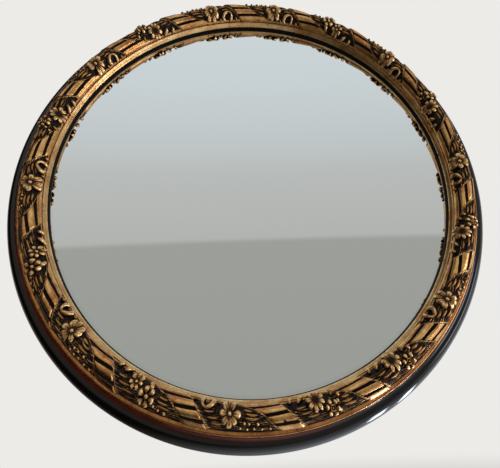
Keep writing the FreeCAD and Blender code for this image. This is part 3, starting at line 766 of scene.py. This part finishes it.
def dish(radius, height):
    """A dished centre with a raised round rim and a pip, like the middle of a primrose."""
    # The hollow of the dish is painted dark as shade, and its rim and pip pale as rubbed gold and highlight.
    outline = ((0.0, 0.7, 1.0), (0.2, 0.65, 0.9), (0.32, 0.25, 0.2), (0.5, 0.0, 0.0), (0.62, 0.2, 0.2),
               (0.75, 0.85, 0.9), (0.86, 1.0, 1.1), (0.95, 0.8, 0.7), (1.0, 0.2, 0.1))
    return boss(radius, [(share, level * height, tone) for share, level, tone in outline])


def flower(casting, degrees, t, lift, petals, length, width, rise, crease, centre, spin, seed,
           drawn=1.0, unevenness=0.09, plump=1.9, root=2.2):
    """Petals round a boss, a dish or a low centre painted dark as shade, over the torus."""
    points, faces, proud = petal_mesh(length, width, rise, crease, root, plump)
    mesh = follow(points, [], faces, petalling, petalling_inputs,
                  {"Petals": petals, "Unevenness": unevenness, "Seed": seed, "Finish": composition}, "petals",
                  {"proud": proud})
    casting.add(*laid_over_torus(take_apart(mesh, "proud"), degrees, t, lift, spin, drawn))
    casting.add(*laid_over_torus(centre, degrees, t, lift + 0.6 * rise))


def smooth_line(points):
    """A smooth line through a few points: each run becomes several short ones."""
    steps = 6
    places = [Vector(point) for point in points]
    places = [2 * places[0] - places[1]] + places + [2 * places[-1] - places[-2]]
    line = []
    for a, b, c, d in zip(places, places[1:], places[2:], places[3:]):
        for step in range(steps):
            s = step / steps
            line.append(0.5 * ((2 * b) + (c - a) * s + (2 * a - 5 * b + 4 * c - d) * s * s
                               + (3 * b - 3 * c + d - a) * s * s * s))
    return line + [places[-2]]


def leaf(casting, base_degrees, path, thickness, tone=1.0, swell=0.0):
    """A plump leaf or stem drawn over the ribbon; the path's points are (degrees, t, lift)."""
    thinnest = 0.3
    line = smooth_line(path)
    count = len(line)
    spots, radii = [], []
    for number, (degrees, t, lift) in enumerate(line):
        share = number / (count - 1)
        spots.append(on_torus(base_degrees + degrees, t, lift))
        fullness = math.sin(math.pi * (0.12 + 0.83 * share ** (1.0 + swell))) ** 0.6
        radii.append(thickness / 1000 * max(thinnest, fullness))
    edges = [(number, number + 1) for number in range(count - 1)]
    mesh = follow(spots, edges, [], rodding, rodding_inputs, {"Sides": 10, "Finish": composition}, "leaf",
                  {"thickness": radii})
    points, faces, proud = take_apart(mesh)
    # Proudness by height: the leaf's low sides are painted dark as shade, and its crest pale as rubbed gold
    # and highlight.
    for number, point in enumerate(points):
        inward = torus_radius - math.hypot(point.x, point.z) * 1000
        ahead = -point.y * 1000 - torus_shoulder
        stand = math.hypot(inward / torus_half_width, ahead / torus_rise) - 1.0
        proud[number] = tone * ramp(stand * 15.5, 0.1, 1.5 * thickness)
    casting.add(points, faces, proud)


def ribbon_ground(casting, base_degrees, seed):
    """The ribbon itself: a thin shell with fine leaves in its wavy ground and a raised edge."""
    gap, steps = 0.6, 76
    rows = [bed_low + gap + (bed_high - bed_low - 2 * gap) * number / steps for number in range(steps + 1)]
    shares = [0.006, 0.02, 0.045, 0.075, 0.925, 0.955, 0.98, 0.994]
    shares = sorted(shares + [0.11 + 0.0325 * number for number in range(25)])
    count = len(rows)

    def face_point(share, t):
        """A point of the ribbon's face: lumpy, with fine leaves along wavy lines and a raised edge."""
        start, end = ribbon_start(t), ribbon_end(t)
        x = start + (end - start) * share
        from_edge = min(share, 1.0 - share)
        lump = noise.noise(Vector((x * 0.7 + seed * 7.3, t * 0.06, 0.0)))
        veined = ramp(t, 44.0, 60.0) * (1.0 - ramp(t, 146.0, 162.0))
        drift = noise.noise(Vector((x * 0.45, t * 0.02, seed * 3.1)))
        phase = t / 11.0 + 0.45 * math.sin(0.8 * x + seed) + 0.9 * drift
        vein = veined * max(0.0, math.cos(2 * math.pi * phase)) ** 1.6
        rim = 1.0 - ramp(from_edge, 0.012, 0.06)
        height = max(-1.9, -1.5 + 0.5 * lump + 1.3 * vein * (1.0 - rim) + 1.7 * rim)
        # The ground is painted dark as wax and painted shade; raised lumps and veins are paler as rubbed gold
        # and painted highlight; the raised edge is gilt.
        rubbed = 0.12 + 0.2 * lump + (0.3 + 0.75 * (0.5 + lump)) * vein ** 2
        return (x, t, height), rubbed + 0.75 * (1.0 - ramp(from_edge, 0.01, 0.03))

    points, faces, proud = sheet_mesh(rows, shares, face_point)
    size = len(points)
    points += [(x, t, 0.1 - bed_depth) for x, t, height in points]
    faces += [tuple(size + place for place in reversed(quad)) for quad in faces]
    proud += [0.0] * size
    rim = [left * count for left in range(len(shares))]
    rim += [(len(shares) - 1) * count + low for low in range(1, count)]
    rim += [left * count + count - 1 for left in range(len(shares) - 2, -1, -1)]
    rim += range(count - 2, 0, -1)
    for number, corner in enumerate(rim):
        after = rim[(number + 1) % len(rim)]
        faces.append((corner, size + corner, size + after, after))
    mesh = follow(points, [], faces, wrapping, wrapping_inputs,
                  {"First angle": base_degrees, "Unevenness": 0.0, "Finish": composition}, "ground",
                  {"proud": proud})
    casting.add(*take_apart(mesh, "proud"))


def berries(casting, base_degrees, places, size, chance):
    """Round berries that stand on the ribbon, each a little different."""
    for degrees, t in places:
        width = size * chance.uniform(0.88, 1.12)
        casting.add(*laid_over_torus(dome(width, width * 1.3),
                                     base_degrees + degrees + chance.uniform(-0.1, 0.1),
                                     t + chance.uniform(-2, 2), -0.2))


def streaming_leaves(casting, base, chance, paths, thickness, tone):
    """Long low leaves that stream from the flowers to the edges of the ribbon."""
    for path in paths:
        rise = chance.uniform(-2, 2)
        leaf(casting, base, [(degrees, t + rise, lift) for degrees, t, lift in path],
             thickness * chance.uniform(0.85, 1.15), tone=tone)


def paired_casting(casting, base, chance, seed, six_balls):
    """A pair of flowers: a daisy on the inner flank and a second flower on the crest."""
    if six_balls:
        flower(casting, base + 7.9, 62.0, lift=0.9, petals=7, length=9.2, width=5.0, rise=2.2, crease=0.5,
               centre=dome(1.9, 1.2), spin=chance.uniform(0, 1), seed=seed, drawn=1.5)
        flower(casting, base + 11.3, 95.0, lift=0.8, petals=6, length=10.6, width=7.4, rise=2.6, crease=0.1,
               centre=dome(2.6, 1.9), spin=chance.uniform(0, 1), seed=seed + 3, unevenness=0.05, plump=3.0,
               root=3.4)
        leaf(casting, base, [(11.6, 66, 0.6), (11.4, 50, 2.0), (11.0, 30, 1.2)], 3.1)
        berries(casting, base, ((13.4, 118.0), (14.6, 128.0), (16.0, 134.0)), 2.2, chance)
    else:
        # The daisy's low centre is painted dark: painted shade for a dished eye.
        flower(casting, base + 8.3, 55.0, lift=1.2, petals=9, length=12.0, width=5.6, rise=2.6, crease=0.7,
               centre=dome(2.1, 0.4, proud_top=0.05), spin=chance.uniform(0, 1), seed=seed, drawn=1.3)
        flower(casting, base + 11.5, 102.0, lift=1.1, petals=6, length=9.2, width=6.0, rise=2.2, crease=0.2,
               centre=dish(3.4, 1.9), spin=chance.uniform(0, 1), seed=seed + 3, plump=2.4, root=3.2)
        berries(casting, base, ((13.0, 83.0), (13.5, 60.0), (13.0, 121.0)), 2.4, chance)
        leaf(casting, base, [(12.0, 52, 0.4), (12.3, 34, 1.4), (12.0, 14, 0.8)], 2.0, tone=0.75)
    leaf(casting, base, [(2.6, 40, 0.4), (2.6, 28, 1.7), (2.9, 13, 1.6), (3.2, 3, 1.0)], 2.6)
    leaf(casting, base, [(4.3, 46, 0.2), (4.8, 32, 1.8), (5.5, 16, 1.8), (5.9, 4, 1.0)], 2.8)
    streaming_leaves(casting, base, chance, (
        [(3.0, 70, -0.6), (4.6, 72, 0.5), (6.4, 66, 0.0)], [(3.8, 88, -0.6), (5.6, 92, 0.6), (8.0, 84, 0.0)],
        [(5.2, 108, -0.6), (7.0, 112, 0.6), (9.2, 106, 0.0)]), 1.25, 0.85)
    streaming_leaves(casting, base, chance, (
        [(13.6, 92, 0.2), (15.2, 98, 0.6), (17.2, 92, -0.6)],
        [(13.8, 76, 0.2), (15.0, 80, 0.6), (16.6, 78, -0.6)],
        [(13.8, 108, 0.2), (15.8, 112, 0.6), (18.0, 112, -0.6)],
        [(13.2, 46, 0.0), (14.0, 52, 0.5), (15.0, 58, -0.6)]), 1.35, 0.9)


def single_casting(casting, base, chance, seed):
    """One long-petalled flower on the crest, a hooked leaf before it and small berries after it."""
    flower(casting, base + 9.3, 75.0, lift=0.8, petals=8, length=13.6, width=7.6, rise=2.6, crease=0.8,
           centre=dome(2.5, 1.6), spin=chance.uniform(0, 0.3), seed=seed, drawn=1.5, unevenness=0.16,
           plump=2.2)
    leaf(casting, base,
         [(4.2, 62, 1.2), (3.4, 58, 2.0), (3.0, 44, 1.9), (3.1, 26, 1.6), (3.4, 10, 1.0), (3.5, 3, 0.8)],
         2.5, swell=0.9)
    leaf(casting, base,
         [(3.8, 63, 1.0), (4.5, 60, 2.2), (5.3, 48, 2.2), (5.6, 32, 2.0), (5.2, 16, 1.2), (4.8, 6, 0.8)],
         3.1, swell=0.5)
    leaf(casting, base, [(1.5, 30, 0.2), (1.4, 18, 1.2), (1.6, 4, 0.8)], 2.0, tone=0.8)
    leaf(casting, base, [(6.8, 30, 0.0), (6.6, 18, 1.2), (6.8, 4, 0.8)], 1.9, tone=0.75)
    berries(casting, base, ((11.8, 130.0), (13.2, 133.0), (14.6, 131.0), (16.2, 134.0), (17.8, 135.0),
                            (12.5, 109.0), (13.6, 111.0), (15.4, 110.0)), 2.0, chance)
    streaming_leaves(casting, base, chance, (
        [(3.2, 74, -0.6), (4.8, 78, 0.6), (6.4, 72, 0.0)], [(4.0, 92, -0.6), (5.8, 96, 0.6), (7.6, 90, 0.0)],
        [(5.0, 112, -0.6), (6.8, 118, 0.6), (8.4, 112, 0.0)]), 1.3, 0.85)
    streaming_leaves(casting, base, chance, (
        [(12.4, 88, 0.2), (14.4, 94, 0.7), (16.6, 88, -0.6)],
        [(12.6, 70, 0.2), (14.2, 78, 0.7), (16.2, 74, -0.6)],
        [(12.2, 52, 0.0), (13.2, 58, 0.6), (15.0, 62, -0.6)]), 1.4, 0.9)


single_numbers = (1, 3, 4, 6, 8, 10, 12, 15, 17)
six_ball_numbers = (2, 9, 11)
for number in range(18):
    node_name = "ribbon_casting_%02d" % (number + 1)
    base = first_degrees + repeat_degrees * number
    chance = random.Random(700 + number)
    casting = Casting()
    ribbon_ground(casting, base, number)
    if number in single_numbers:
        single_casting(casting, base, chance, 40 + number)
    else:
        paired_casting(casting, base, chance, 40 + number, number in six_ball_numbers)
    mesh = bpy.data.meshes.new(node_name)
    mesh.from_pydata(casting.points, [], casting.faces)
    proudness = mesh.attributes.new("proud", "FLOAT", "POINT")
    proudness.data.foreach_set("value", np.array(casting.proud, np.float32))
    mesh.materials.append(composition)
    piece = finished(mesh, "flower_casting_%02d" % (number + 1), 50.0)
    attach(piece, "mirror")
    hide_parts(node_name)


# ---------- black slip and glass ----------
# A thin black slip stands on the glass inside the gilding. The glass is 3 mm thick, silvered
# behind, and bulges forward by 2 mm over its whole width.

# Black distemper on the slip: flat and sooty, a little rubbed on its edge.
slip_black, tree = new_material("flat black painted slip")
here = add_node(tree, "ShaderNodeTexCoord").outputs["Object"]
rubbing = add_node(tree, "ShaderNodeTexNoise", {"Vector": here, "Scale": 240.0, "Detail": 4.0})
colour = add_node(tree, "ShaderNodeMix", {0: rubbing, 6: linear("#060606"), 7: linear("#100E0B")},
                  data_type="RGBA")
surface(tree, add_node(tree, "ShaderNodeBsdfPrincipled", {
    "Base Color": colour, "Roughness": 0.62, "Specular IOR Level": 0.1}))

slip = turned("black_slip", [(289.7, 35.0), (292.9, 35.0), (292.9, 40.0), (290.5, 40.0), (290.1, 39.9),
                             (289.8, 39.6), (289.7, 39.2)], slip_black)
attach(slip, "mirror")
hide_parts("sight_slip")

# Silvered float glass: a clean mirror, very slightly green, with a trace of foxing at its rim.
silvered, tree = new_material("silvered float glass")
here = add_node(tree, "ShaderNodeTexCoord").outputs["Object"]
radius = distance_from_axis(tree, here)
spots = add_node(tree, "ShaderNodeTexNoise", {"Vector": here, "Scale": 220.0, "Detail": 4.0})
near_rim = add_node(tree, "ShaderNodeMapRange",
                    {"Value": radius, "From Min": 0.284, "From Max": 0.2905, "To Max": 0.30})
foxed = add_node(tree, "ShaderNodeMath", {0: spots, 1: near_rim}, operation="MULTIPLY")
colour = add_node(tree, "ShaderNodeMix", {0: foxed, 6: linear("#F4F6F5"), 7: linear("#8C8578")},
                  data_type="RGBA")
haze = add_node(tree, "ShaderNodeMapRange", {"Value": foxed, "To Min": 0.012, "To Max": 0.12})
surface(tree, add_node(tree, "ShaderNodeBsdfPrincipled", {
    "Base Color": colour, "Metallic": 1.0, "Roughness": haze}))

glass_radius, glass_bulge = 297.0, 2.0
rim_front, rim_back = 34.9, 31.9
shares = np.linspace(0.0, 1.0, 25)
front = [(glass_radius * s, rim_front + glass_bulge * (1 - s * s)) for s in shares]
back = [(glass_radius * s, rim_back + glass_bulge * (1 - s * s)) for s in reversed(shares)]
glass = turned("mirror_plate", front + back, silvered, closed_profile=False)
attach(glass, "mirror")
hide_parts("mirror_glass")


# ---------- back ----------
# A board of brown hardboard closes the rebate, flush with the frame's back and held by eight
# countersunk screws. Softwood blocks between board and glass keep the glass in place.

board_finish, tree = new_material("brown hardboard")
here = add_node(tree, "ShaderNodeTexCoord").outputs["Object"]
fibre = add_node(tree, "ShaderNodeTexNoise",
                 {"Vector": here, "Scale": 480.0, "Detail": 6.0, "Roughness": 0.7})
cloud = add_node(tree, "ShaderNodeTexNoise", {"Vector": here, "Scale": 9.0, "Detail": 3.0})
tone = add_node(tree, "ShaderNodeMix", {0: cloud, 6: linear("#6F4C30"), 7: linear("#8E6844")},
                data_type="RGBA")
speck = add_node(tree, "ShaderNodeMapRange",
                 {"Value": fibre, "From Min": 0.42, "From Max": 0.62, "To Max": 0.5})
colour = add_node(tree, "ShaderNodeMix", {0: speck, 6: tone, 7: linear("#4E3420")}, data_type="RGBA")
skin = add_node(tree, "ShaderNodeBump", {"Height": fibre, "Strength": 0.25, "Distance": 0.0005})
surface(tree, add_node(tree, "ShaderNodeBsdfPrincipled", {
    "Base Color": colour, "Roughness": 0.58, "Normal": skin}))
board_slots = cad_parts["backboard"].data.materials
board_slots.clear()
board_slots.append(board_finish)

softwood, tree = new_material("sawn pine")
here = add_node(tree, "ShaderNodeTexCoord").outputs["Object"]
rings = add_node(tree, "ShaderNodeTexWave", {"Vector": here, "Scale": 90.0, "Distortion": 3.0, "Detail": 2.0},
                 bands_direction="Y")
colour = add_node(tree, "ShaderNodeMix",
                  {0: rings.outputs["Fac"], 6: linear("#C9A26C"), 7: linear("#E0C190")}, data_type="RGBA")
surface(tree, add_node(tree, "ShaderNodeBsdfPrincipled", {"Base Color": colour, "Roughness": 0.7}))
block_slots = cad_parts["glazing_blocks"].data.materials
block_slots.clear()
block_slots.append(softwood)


# ---------- hangers and screws ----------
# Two zinc-plated straps, rolled into a barrel for a bent wire D-ring, each screwed into its pocket
# with two pan-head screws. The screws have a cross recess.

def plated_steel(name, pale, deep, roughness):
    """Zinc plating: soft grey metal with faint blotches."""
    material, tree = new_material(name)
    here = add_node(tree, "ShaderNodeTexCoord").outputs["Object"]
    blotch = add_node(tree, "ShaderNodeTexNoise", {"Vector": here, "Scale": 260.0, "Detail": 4.0})
    colour = add_node(tree, "ShaderNodeMix", {0: blotch, 6: linear(deep), 7: linear(pale)}, data_type="RGBA")
    dull = add_node(tree, "ShaderNodeMapRange",
                    {"Value": blotch, "To Min": roughness, "To Max": roughness + 0.18})
    surface(tree, add_node(tree, "ShaderNodeBsdfPrincipled", {
        "Base Color": colour, "Metallic": 1.0, "Roughness": dull}))
    return material


zinc = plated_steel("zinc plated steel strap", "#C9CACB", "#9A9C9F", 0.26)
bright_zinc = plated_steel("bright zinc plated screws", "#D6D3C6", "#A7A59B", 0.22)

screwing, given, screwing_inputs = new_recipe("set screws at marked places", (
    ("Screw", "NodeSocketGeometry"), ("Places", "NodeSocketObject"), ("Finish", "NodeSocketMaterial")))
places = add_node(screwing, "GeometryNodeObjectInfo", {"Object": given.outputs["Places"]})
spin = add_node(screwing, "FunctionNodeRandomValue", {3: 3.1, "Seed": 5}, data_type="FLOAT")
facing = add_node(screwing, "ShaderNodeCombineXYZ", {"Y": spin})
laid = add_node(screwing, "GeometryNodeInstanceOnPoints", {
    "Points": places.outputs["Geometry"], "Instance": given.outputs["Screw"], "Rotation": facing})
close_recipe(screwing, given, laid)


def cross_screws(name, outline, places, recess_depth):
    """Screws turned from an outline of (radius, height along +Y), with a cross cut in the head."""
    sides = 24
    shape = bmesh.new()
    rings = []
    spins = [2 * math.pi * side / sides for side in range(sides)]
    for radius, height in outline:
        ring = [(radius * math.cos(spin), height, radius * math.sin(spin)) for spin in spins]
        rings.append([shape.verts.new(Vector(point) / 1000) for point in ring])
    for low, high in zip(rings, rings[1:]):
        for side in range(sides):
            after = (side + 1) % sides
            shape.faces.new((low[side], low[after], high[after], high[side]))
    shape.faces.new(rings[0])
    shape.faces.new(rings[-1])
    screw = shaped(name, shape)
    top = max(height for radius, height in outline)
    wide = outline[0][0] * 0.62
    narrow = wide * 0.2
    blades = bmesh.new()
    corners, arm = [], [(narrow, wide), (narrow, narrow), (wide, narrow)]
    for quarter in range(4):
        corners += arm
        arm = [(z, -x) for x, z in arm]
    upper, lower = [], []
    for x, z in corners:
        upper.append(blades.verts.new((x / 1000, (top + 0.5) / 1000, z / 1000)))
    for x, z in corners:
        lower.append(blades.verts.new((0.6 * x / 1000, (top - recess_depth) / 1000, 0.6 * z / 1000)))
    blades.faces.new(upper)
    blades.faces.new(lower)
    for corner in range(12):
        after = (corner + 1) % 12
        blades.faces.new((upper[corner], upper[after], lower[after], lower[corner]))
    driver = cutter_for(screw, "driver", blades)
    marks = in_scene("marks", bpy.data.meshes.new("marks"))
    marks.data.from_pydata(places, [], [])
    setting = screw.modifiers.new("recipe", "NODES")
    setting.node_group = screwing
    setting[screwing_inputs["Places"]] = marks
    setting[screwing_inputs["Finish"]] = bright_zinc
    mesh = baked(screw, bright_zinc)
    for helper in (screw, driver, marks):
        bpy.data.objects.remove(helper)
    return finished(mesh, name, 30.0)


screw_circle = 0.3032
board_places = [(screw_circle * math.cos(turn), 0.0, screw_circle * math.sin(turn))
                for turn in np.radians(22.5 + 45.0 * np.arange(8))]
board_screws = cross_screws("board_screws_with_cross", [
    (3.0, -0.2), (3.4, -0.35), (1.7, -2.6), (1.7, -11.0), (0.3, -15.9)], board_places, 1.5)
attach(board_screws, "mirror")
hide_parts("backboard_screws")

pivot_y, pivot_z = -3.7, 60.0
strap_front, strap_back, strap_foot = -6.5, -8.0, 10.0
strap_half_width, strap_corner, wire_radius = 8.0, 5.0, 1.5
strap_places = [(side * hanger_distance / 1000, strap_front / 1000, (pivot_z - drop) / 1000)
                for side in (-1, 1) for drop in (26.0, 40.0)]
strap_screws = cross_screws("strap_screws_with_cross", [
    (1.6, 1.8), (2.5, 1.55), (3.0, 1.1), (3.2, 0.6), (3.2, 0.0), (1.6, -0.02), (1.6, -10.2),
    (0.3, -14.9)], strap_places, 1.1)
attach(strap_screws, "mirror")
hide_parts("hanger_screws")

for side, word in ((-1, "left"), (1, "right")):
    hanger_x = side * hanger_distance
    plate = bmesh.new()
    corners = [(strap_half_width, pivot_z - 0.4), (-strap_half_width, pivot_z - 0.4)]
    for hand, start in ((-1, 180), (1, 270)):
        corners += [(hand * (strap_half_width - strap_corner) + strap_corner * math.cos(t),
                     strap_foot + strap_corner + strap_corner * math.sin(t))
                    for t in np.radians(np.linspace(start, start + 90, 9))]
    corners = [((hanger_x + x) / 1000, strap_back / 1000, z / 1000) for x, z in corners]
    face = plate.faces.new([plate.verts.new(corner) for corner in corners])
    grown = bmesh.ops.extrude_face_region(plate, geom=[face])
    for vertex in grown["geom"]:
        if isinstance(vertex, bmesh.types.BMVert):
            vertex.co.y = strap_front / 1000
    rims = [edge for edge in plate.edges
            if all(abs(end.co.y * 1000 - strap_front) < 1e-3 for end in edge.verts)]
    bmesh.ops.bevel(plate, geom=rims, offset=0.0003, segments=2, profile=0.5, affect="EDGES")
    roll = []
    for end in (-5.7, 5.7):
        for reach in (2.9, 1.58):
            roll.append([plate.verts.new(((hanger_x + end) / 1000, (pivot_y + reach * math.cos(t)) / 1000,
                                          (pivot_z + reach * math.sin(t)) / 1000))
                         for t in np.radians(np.arange(0, 360, 360 / 32))])
    for near, far in ((0, 2), (1, 3), (0, 1), (2, 3)):
        for step in range(32):
            after = (step + 1) % 32
            plate.faces.new((roll[near][step], roll[near][after], roll[far][after], roll[far][step]))
    mesh = bpy.data.meshes.new("strap")
    plate.to_mesh(mesh)
    plate.free()
    mesh.materials.append(zinc)
    strap = finished(mesh, "hanger_strap_" + word, 30.0)
    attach(strap, "mirror")
    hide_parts("hanger_plate_" + word)

    wire = []
    for x, z, start, end, bend in ((6.1, 57.6, 90, 0, 2.4), (0.0, 51.5, 0, -180, 8.5),
                                   (-6.1, 57.6, 180, 90, 2.4)):
        for turn in np.radians(np.linspace(start, end, 9 if bend < 5 else 29)):
            wire.append(((hanger_x + x + bend * math.cos(turn)) / 1000, pivot_y / 1000,
                         (z + bend * math.sin(turn)) / 1000))
    edges = [(number, (number + 1) % len(wire)) for number in range(len(wire))]
    mesh = follow(wire, edges, [], rodding, rodding_inputs, {"Sides": 18, "Finish": zinc}, "wire",
                  {"thickness": [wire_radius / 1000] * len(wire)})
    ring = finished(mesh, "wire_ring_" + word, 40.0)
    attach(ring, "ring_" + word)
    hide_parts("hanger_ring_" + word)


# ---------- floor, light and camera ----------
# A pale studio: a plain floor below the hanging mirror, soft light from the front and above, a
# tall lamp on the right, and two narrow ones low behind it, which draw the highlights on the polish.

floor_finish, tree = new_material("pale studio floor")
here = add_node(tree, "ShaderNodeTexCoord").outputs["Object"]
cloud = add_node(tree, "ShaderNodeTexNoise", {"Vector": here, "Scale": 3.0, "Detail": 3.0})
colour = add_node(tree, "ShaderNodeMix", {0: cloud, 6: linear("#E4E2DE"), 7: linear("#EAE8E4")},
                  data_type="RGBA")
plain = add_node(tree, "ShaderNodeBsdfPrincipled", {"Base Color": colour, "Roughness": 0.85})
away = add_node(tree, "ShaderNodeVectorMath", {0: here}, operation="LENGTH")
far = add_node(tree, "ShaderNodeMapRange", {"Value": away, "From Min": 1.0, "From Max": 3.2},
               interpolation_type="SMOOTHSTEP")
backdrop = add_node(tree, "ShaderNodeEmission", {"Color": linear("#ECEBE8"), "Strength": 1.0})
ray = add_node(tree, "ShaderNodeLightPath")
blended = add_node(tree, "ShaderNodeMath", {0: far, 1: ray.outputs["Is Camera Ray"]}, operation="MULTIPLY")
surface(tree, add_node(tree, "ShaderNodeMixShader", {0: blended, 1: plain, 2: backdrop}))
floor_half, floor_level = 6.0, -0.62
floor_mesh = bpy.data.meshes.new("floor")
floor_corners = [(x * floor_half, y * floor_half, floor_level)
                 for x, y in ((-1, -1), (1, -1), (1, 1), (-1, 1))]
floor_mesh.from_pydata(floor_corners, [], [(0, 1, 2, 3)])
floor_mesh.materials.append(floor_finish)
floor = in_scene("floor", floor_mesh)
floor.visible_glossy = False

# What polish, gold and glass reflect: in front two plain fields, the upper one paler, with a
# straight line between them, round the sides a dimmer studio that brightens to the right, and a
# black flag on the left, which keeps the polish dark there.
world = bpy.data.worlds.new("studio")
world.use_nodes = True
tree = world.node_tree
tree.nodes.clear()
ray = add_node(tree, "ShaderNodeLightPath")
way = add_node(tree, "ShaderNodeTexCoord").outputs["Generated"]
above = add_node(tree, "ShaderNodeVectorMath", {0: way, 1: (-0.0174, 0.2873, 0.9577)},
                 operation="DOT_PRODUCT")
placed = add_node(tree, "ShaderNodeMapRange", {"Value": above, "From Min": -0.5, "From Max": 0.5})
bands = add_node(tree, "ShaderNodeValToRGB", {0: placed})
stops = bands.color_ramp.elements
stops[0].color, stops[-1].color = linear("#9F9D98"), linear("#D6DDE1")
for position, hex_colour in ((0.226, "#A1A29D"), (0.494, "#A4A5A0"), (0.503, "#B9BAB7"), (0.64, "#C0C2C1"),
                             (0.69, "#C6CBCC"), (0.75, "#CCD1D4"), (0.85, "#D1D9DC")):
    stops.new(position).color = linear(hex_colour)
towards = add_node(tree, "ShaderNodeVectorMath", {0: way, 1: (0.75, 0.12, -0.65)}, operation="DOT_PRODUCT")
window_side = add_node(tree, "ShaderNodeMapRange", {"Value": towards, "From Min": 0.1, "From Max": 0.95},
                       interpolation_type="SMOOTHSTEP")
spread = add_node(tree, "ShaderNodeSeparateXYZ", {0: way})
raised = add_node(tree, "ShaderNodeMapRange",
                  {"Value": spread.outputs["Z"], "From Min": -0.55, "From Max": 0.35},
                  interpolation_type="SMOOTHSTEP")
dim = add_node(tree, "ShaderNodeMix", {0: raised, 6: linear("#37322E"), 7: linear("#A9A6A2")},
               data_type="RGBA")
level = add_node(tree, "ShaderNodeMath", {0: spread.outputs["Y"]}, operation="ABSOLUTE")
beside = add_node(tree, "ShaderNodeMapRange", {"Value": level, "From Min": 0.62, "From Max": 0.40},
                  interpolation_type="SMOOTHSTEP")
leftward = add_node(tree, "ShaderNodeMapRange",
                    {"Value": spread.outputs["X"], "From Min": -0.25, "From Max": -0.65},
                    interpolation_type="SMOOTHSTEP")
flag = add_node(tree, "ShaderNodeMath", {0: beside, 1: leftward}, operation="MULTIPLY")
flagged = add_node(tree, "ShaderNodeMix", {0: flag, 6: dim, 7: linear("#16130F")}, data_type="RGBA")
sides = add_node(tree, "ShaderNodeMix", {0: window_side, 6: flagged, 7: linear("#E4E8EE")}, data_type="RGBA")
ahead = add_node(tree, "ShaderNodeVectorMath", {0: way, 1: (0.04, -0.93, 0.36)}, operation="DOT_PRODUCT")
in_front = add_node(tree, "ShaderNodeMapRange", {"Value": ahead, "From Min": 0.45, "From Max": 0.86},
                    interpolation_type="SMOOTHSTEP")
reflected = add_node(tree, "ShaderNodeMix", {0: in_front, 6: sides, 7: bands}, data_type="RGBA")
seen = add_node(tree, "ShaderNodeBackground", {"Color": linear("#ECEBE8"), "Strength": 1.0})
mirrored = add_node(tree, "ShaderNodeBackground", {"Color": reflected, "Strength": 1.0})
lighting = add_node(tree, "ShaderNodeBackground", {"Color": linear("#F2F1EE"), "Strength": 0.55})
glossy = add_node(tree, "ShaderNodeMath",
                  {0: ray.outputs["Is Glossy Ray"], 1: ray.outputs["Is Transmission Ray"]},
                  operation="MAXIMUM")
lit = add_node(tree, "ShaderNodeMixShader", {0: glossy, 1: lighting, 2: mirrored})
both = add_node(tree, "ShaderNodeMixShader", {0: ray.outputs["Is Camera Ray"], 1: lit, 2: seen})
add_node(tree, "ShaderNodeOutputWorld", {"Surface": both})
bpy.context.scene.world = world


def lamp(name, place, aim, width, height, watts, hex_colour="#FFFFFF", long_side=(0.0, 0.0, 1.0),
         mirrored=True):
    """A rectangular lamp that looks at a point: a mirrored one only shines in polish, another only lights."""
    data = bpy.data.lights.new(name, "AREA")
    data.shape = "RECTANGLE"
    data.size, data.size_y = width, height
    data.energy = watts
    data.color = linear(hex_colour)[:3]
    back = (Vector(place) - Vector(aim)).normalized()
    upright = (Vector(long_side) - back * back.dot(Vector(long_side))).normalized()
    facing = Matrix((upright.cross(back), upright, back)).transposed().to_4x4()
    lamp_object = in_scene(name, data)
    lamp_object.matrix_world = Matrix.Translation(place) @ facing
    lamp_object.visible_camera = False
    lamp_object.visible_glossy = mirrored
    lamp_object.visible_diffuse = not mirrored


lamp("overhead softbox", (-0.6, -0.9, 1.6), (0.0, 0.0, 0.0), 1.2, 0.8, 14.0, mirrored=False)
lamp("front fill", (0.5, -2.2, 0.1), (0.0, 0.0, 0.0), 1.6, 1.2, 16.0, mirrored=False)
lamp("side window", (1.35, -0.75, -0.4), (0.0, -0.03, 0.0), 0.5, 0.7, 5.0, "#F4F6FF")
lamp("left window pane", (0.343, 0.12, -0.554), (0.144, -0.034, -0.312), 0.05, 0.2, 0.45, "#DCE8FA",
     (0.0, 1.0, 0.0))
lamp("right window pane", (0.412, 0.13, -0.475), (0.183, -0.034, -0.291), 0.04, 0.2, 0.35, "#DCE8FA",
     (0.0, 1.0, 0.0))

# The camera, in units of the picture's width: its focal length, and how far its axis is off centre.
view = bpy.data.cameras.new("camera")
view.sensor_width = 36.0
view.lens = 0.972 * view.sensor_width
view.shift_x, view.shift_y = -0.0492, -0.1592
view.clip_start = 0.01
tilt, lean = math.radians(27.10), math.radians(-5.42)
camera = in_scene("camera", view)
camera.matrix_world = (Matrix.Translation((-0.0389, -0.6942, -0.2935))
                       @ Matrix.Rotation(math.pi / 2 + tilt, 4, "X") @ Matrix.Rotation(lean, 4, "Y"))
bpy.context.scene.camera = camera
bpy.context.scene.view_settings.view_transform = "Standard"
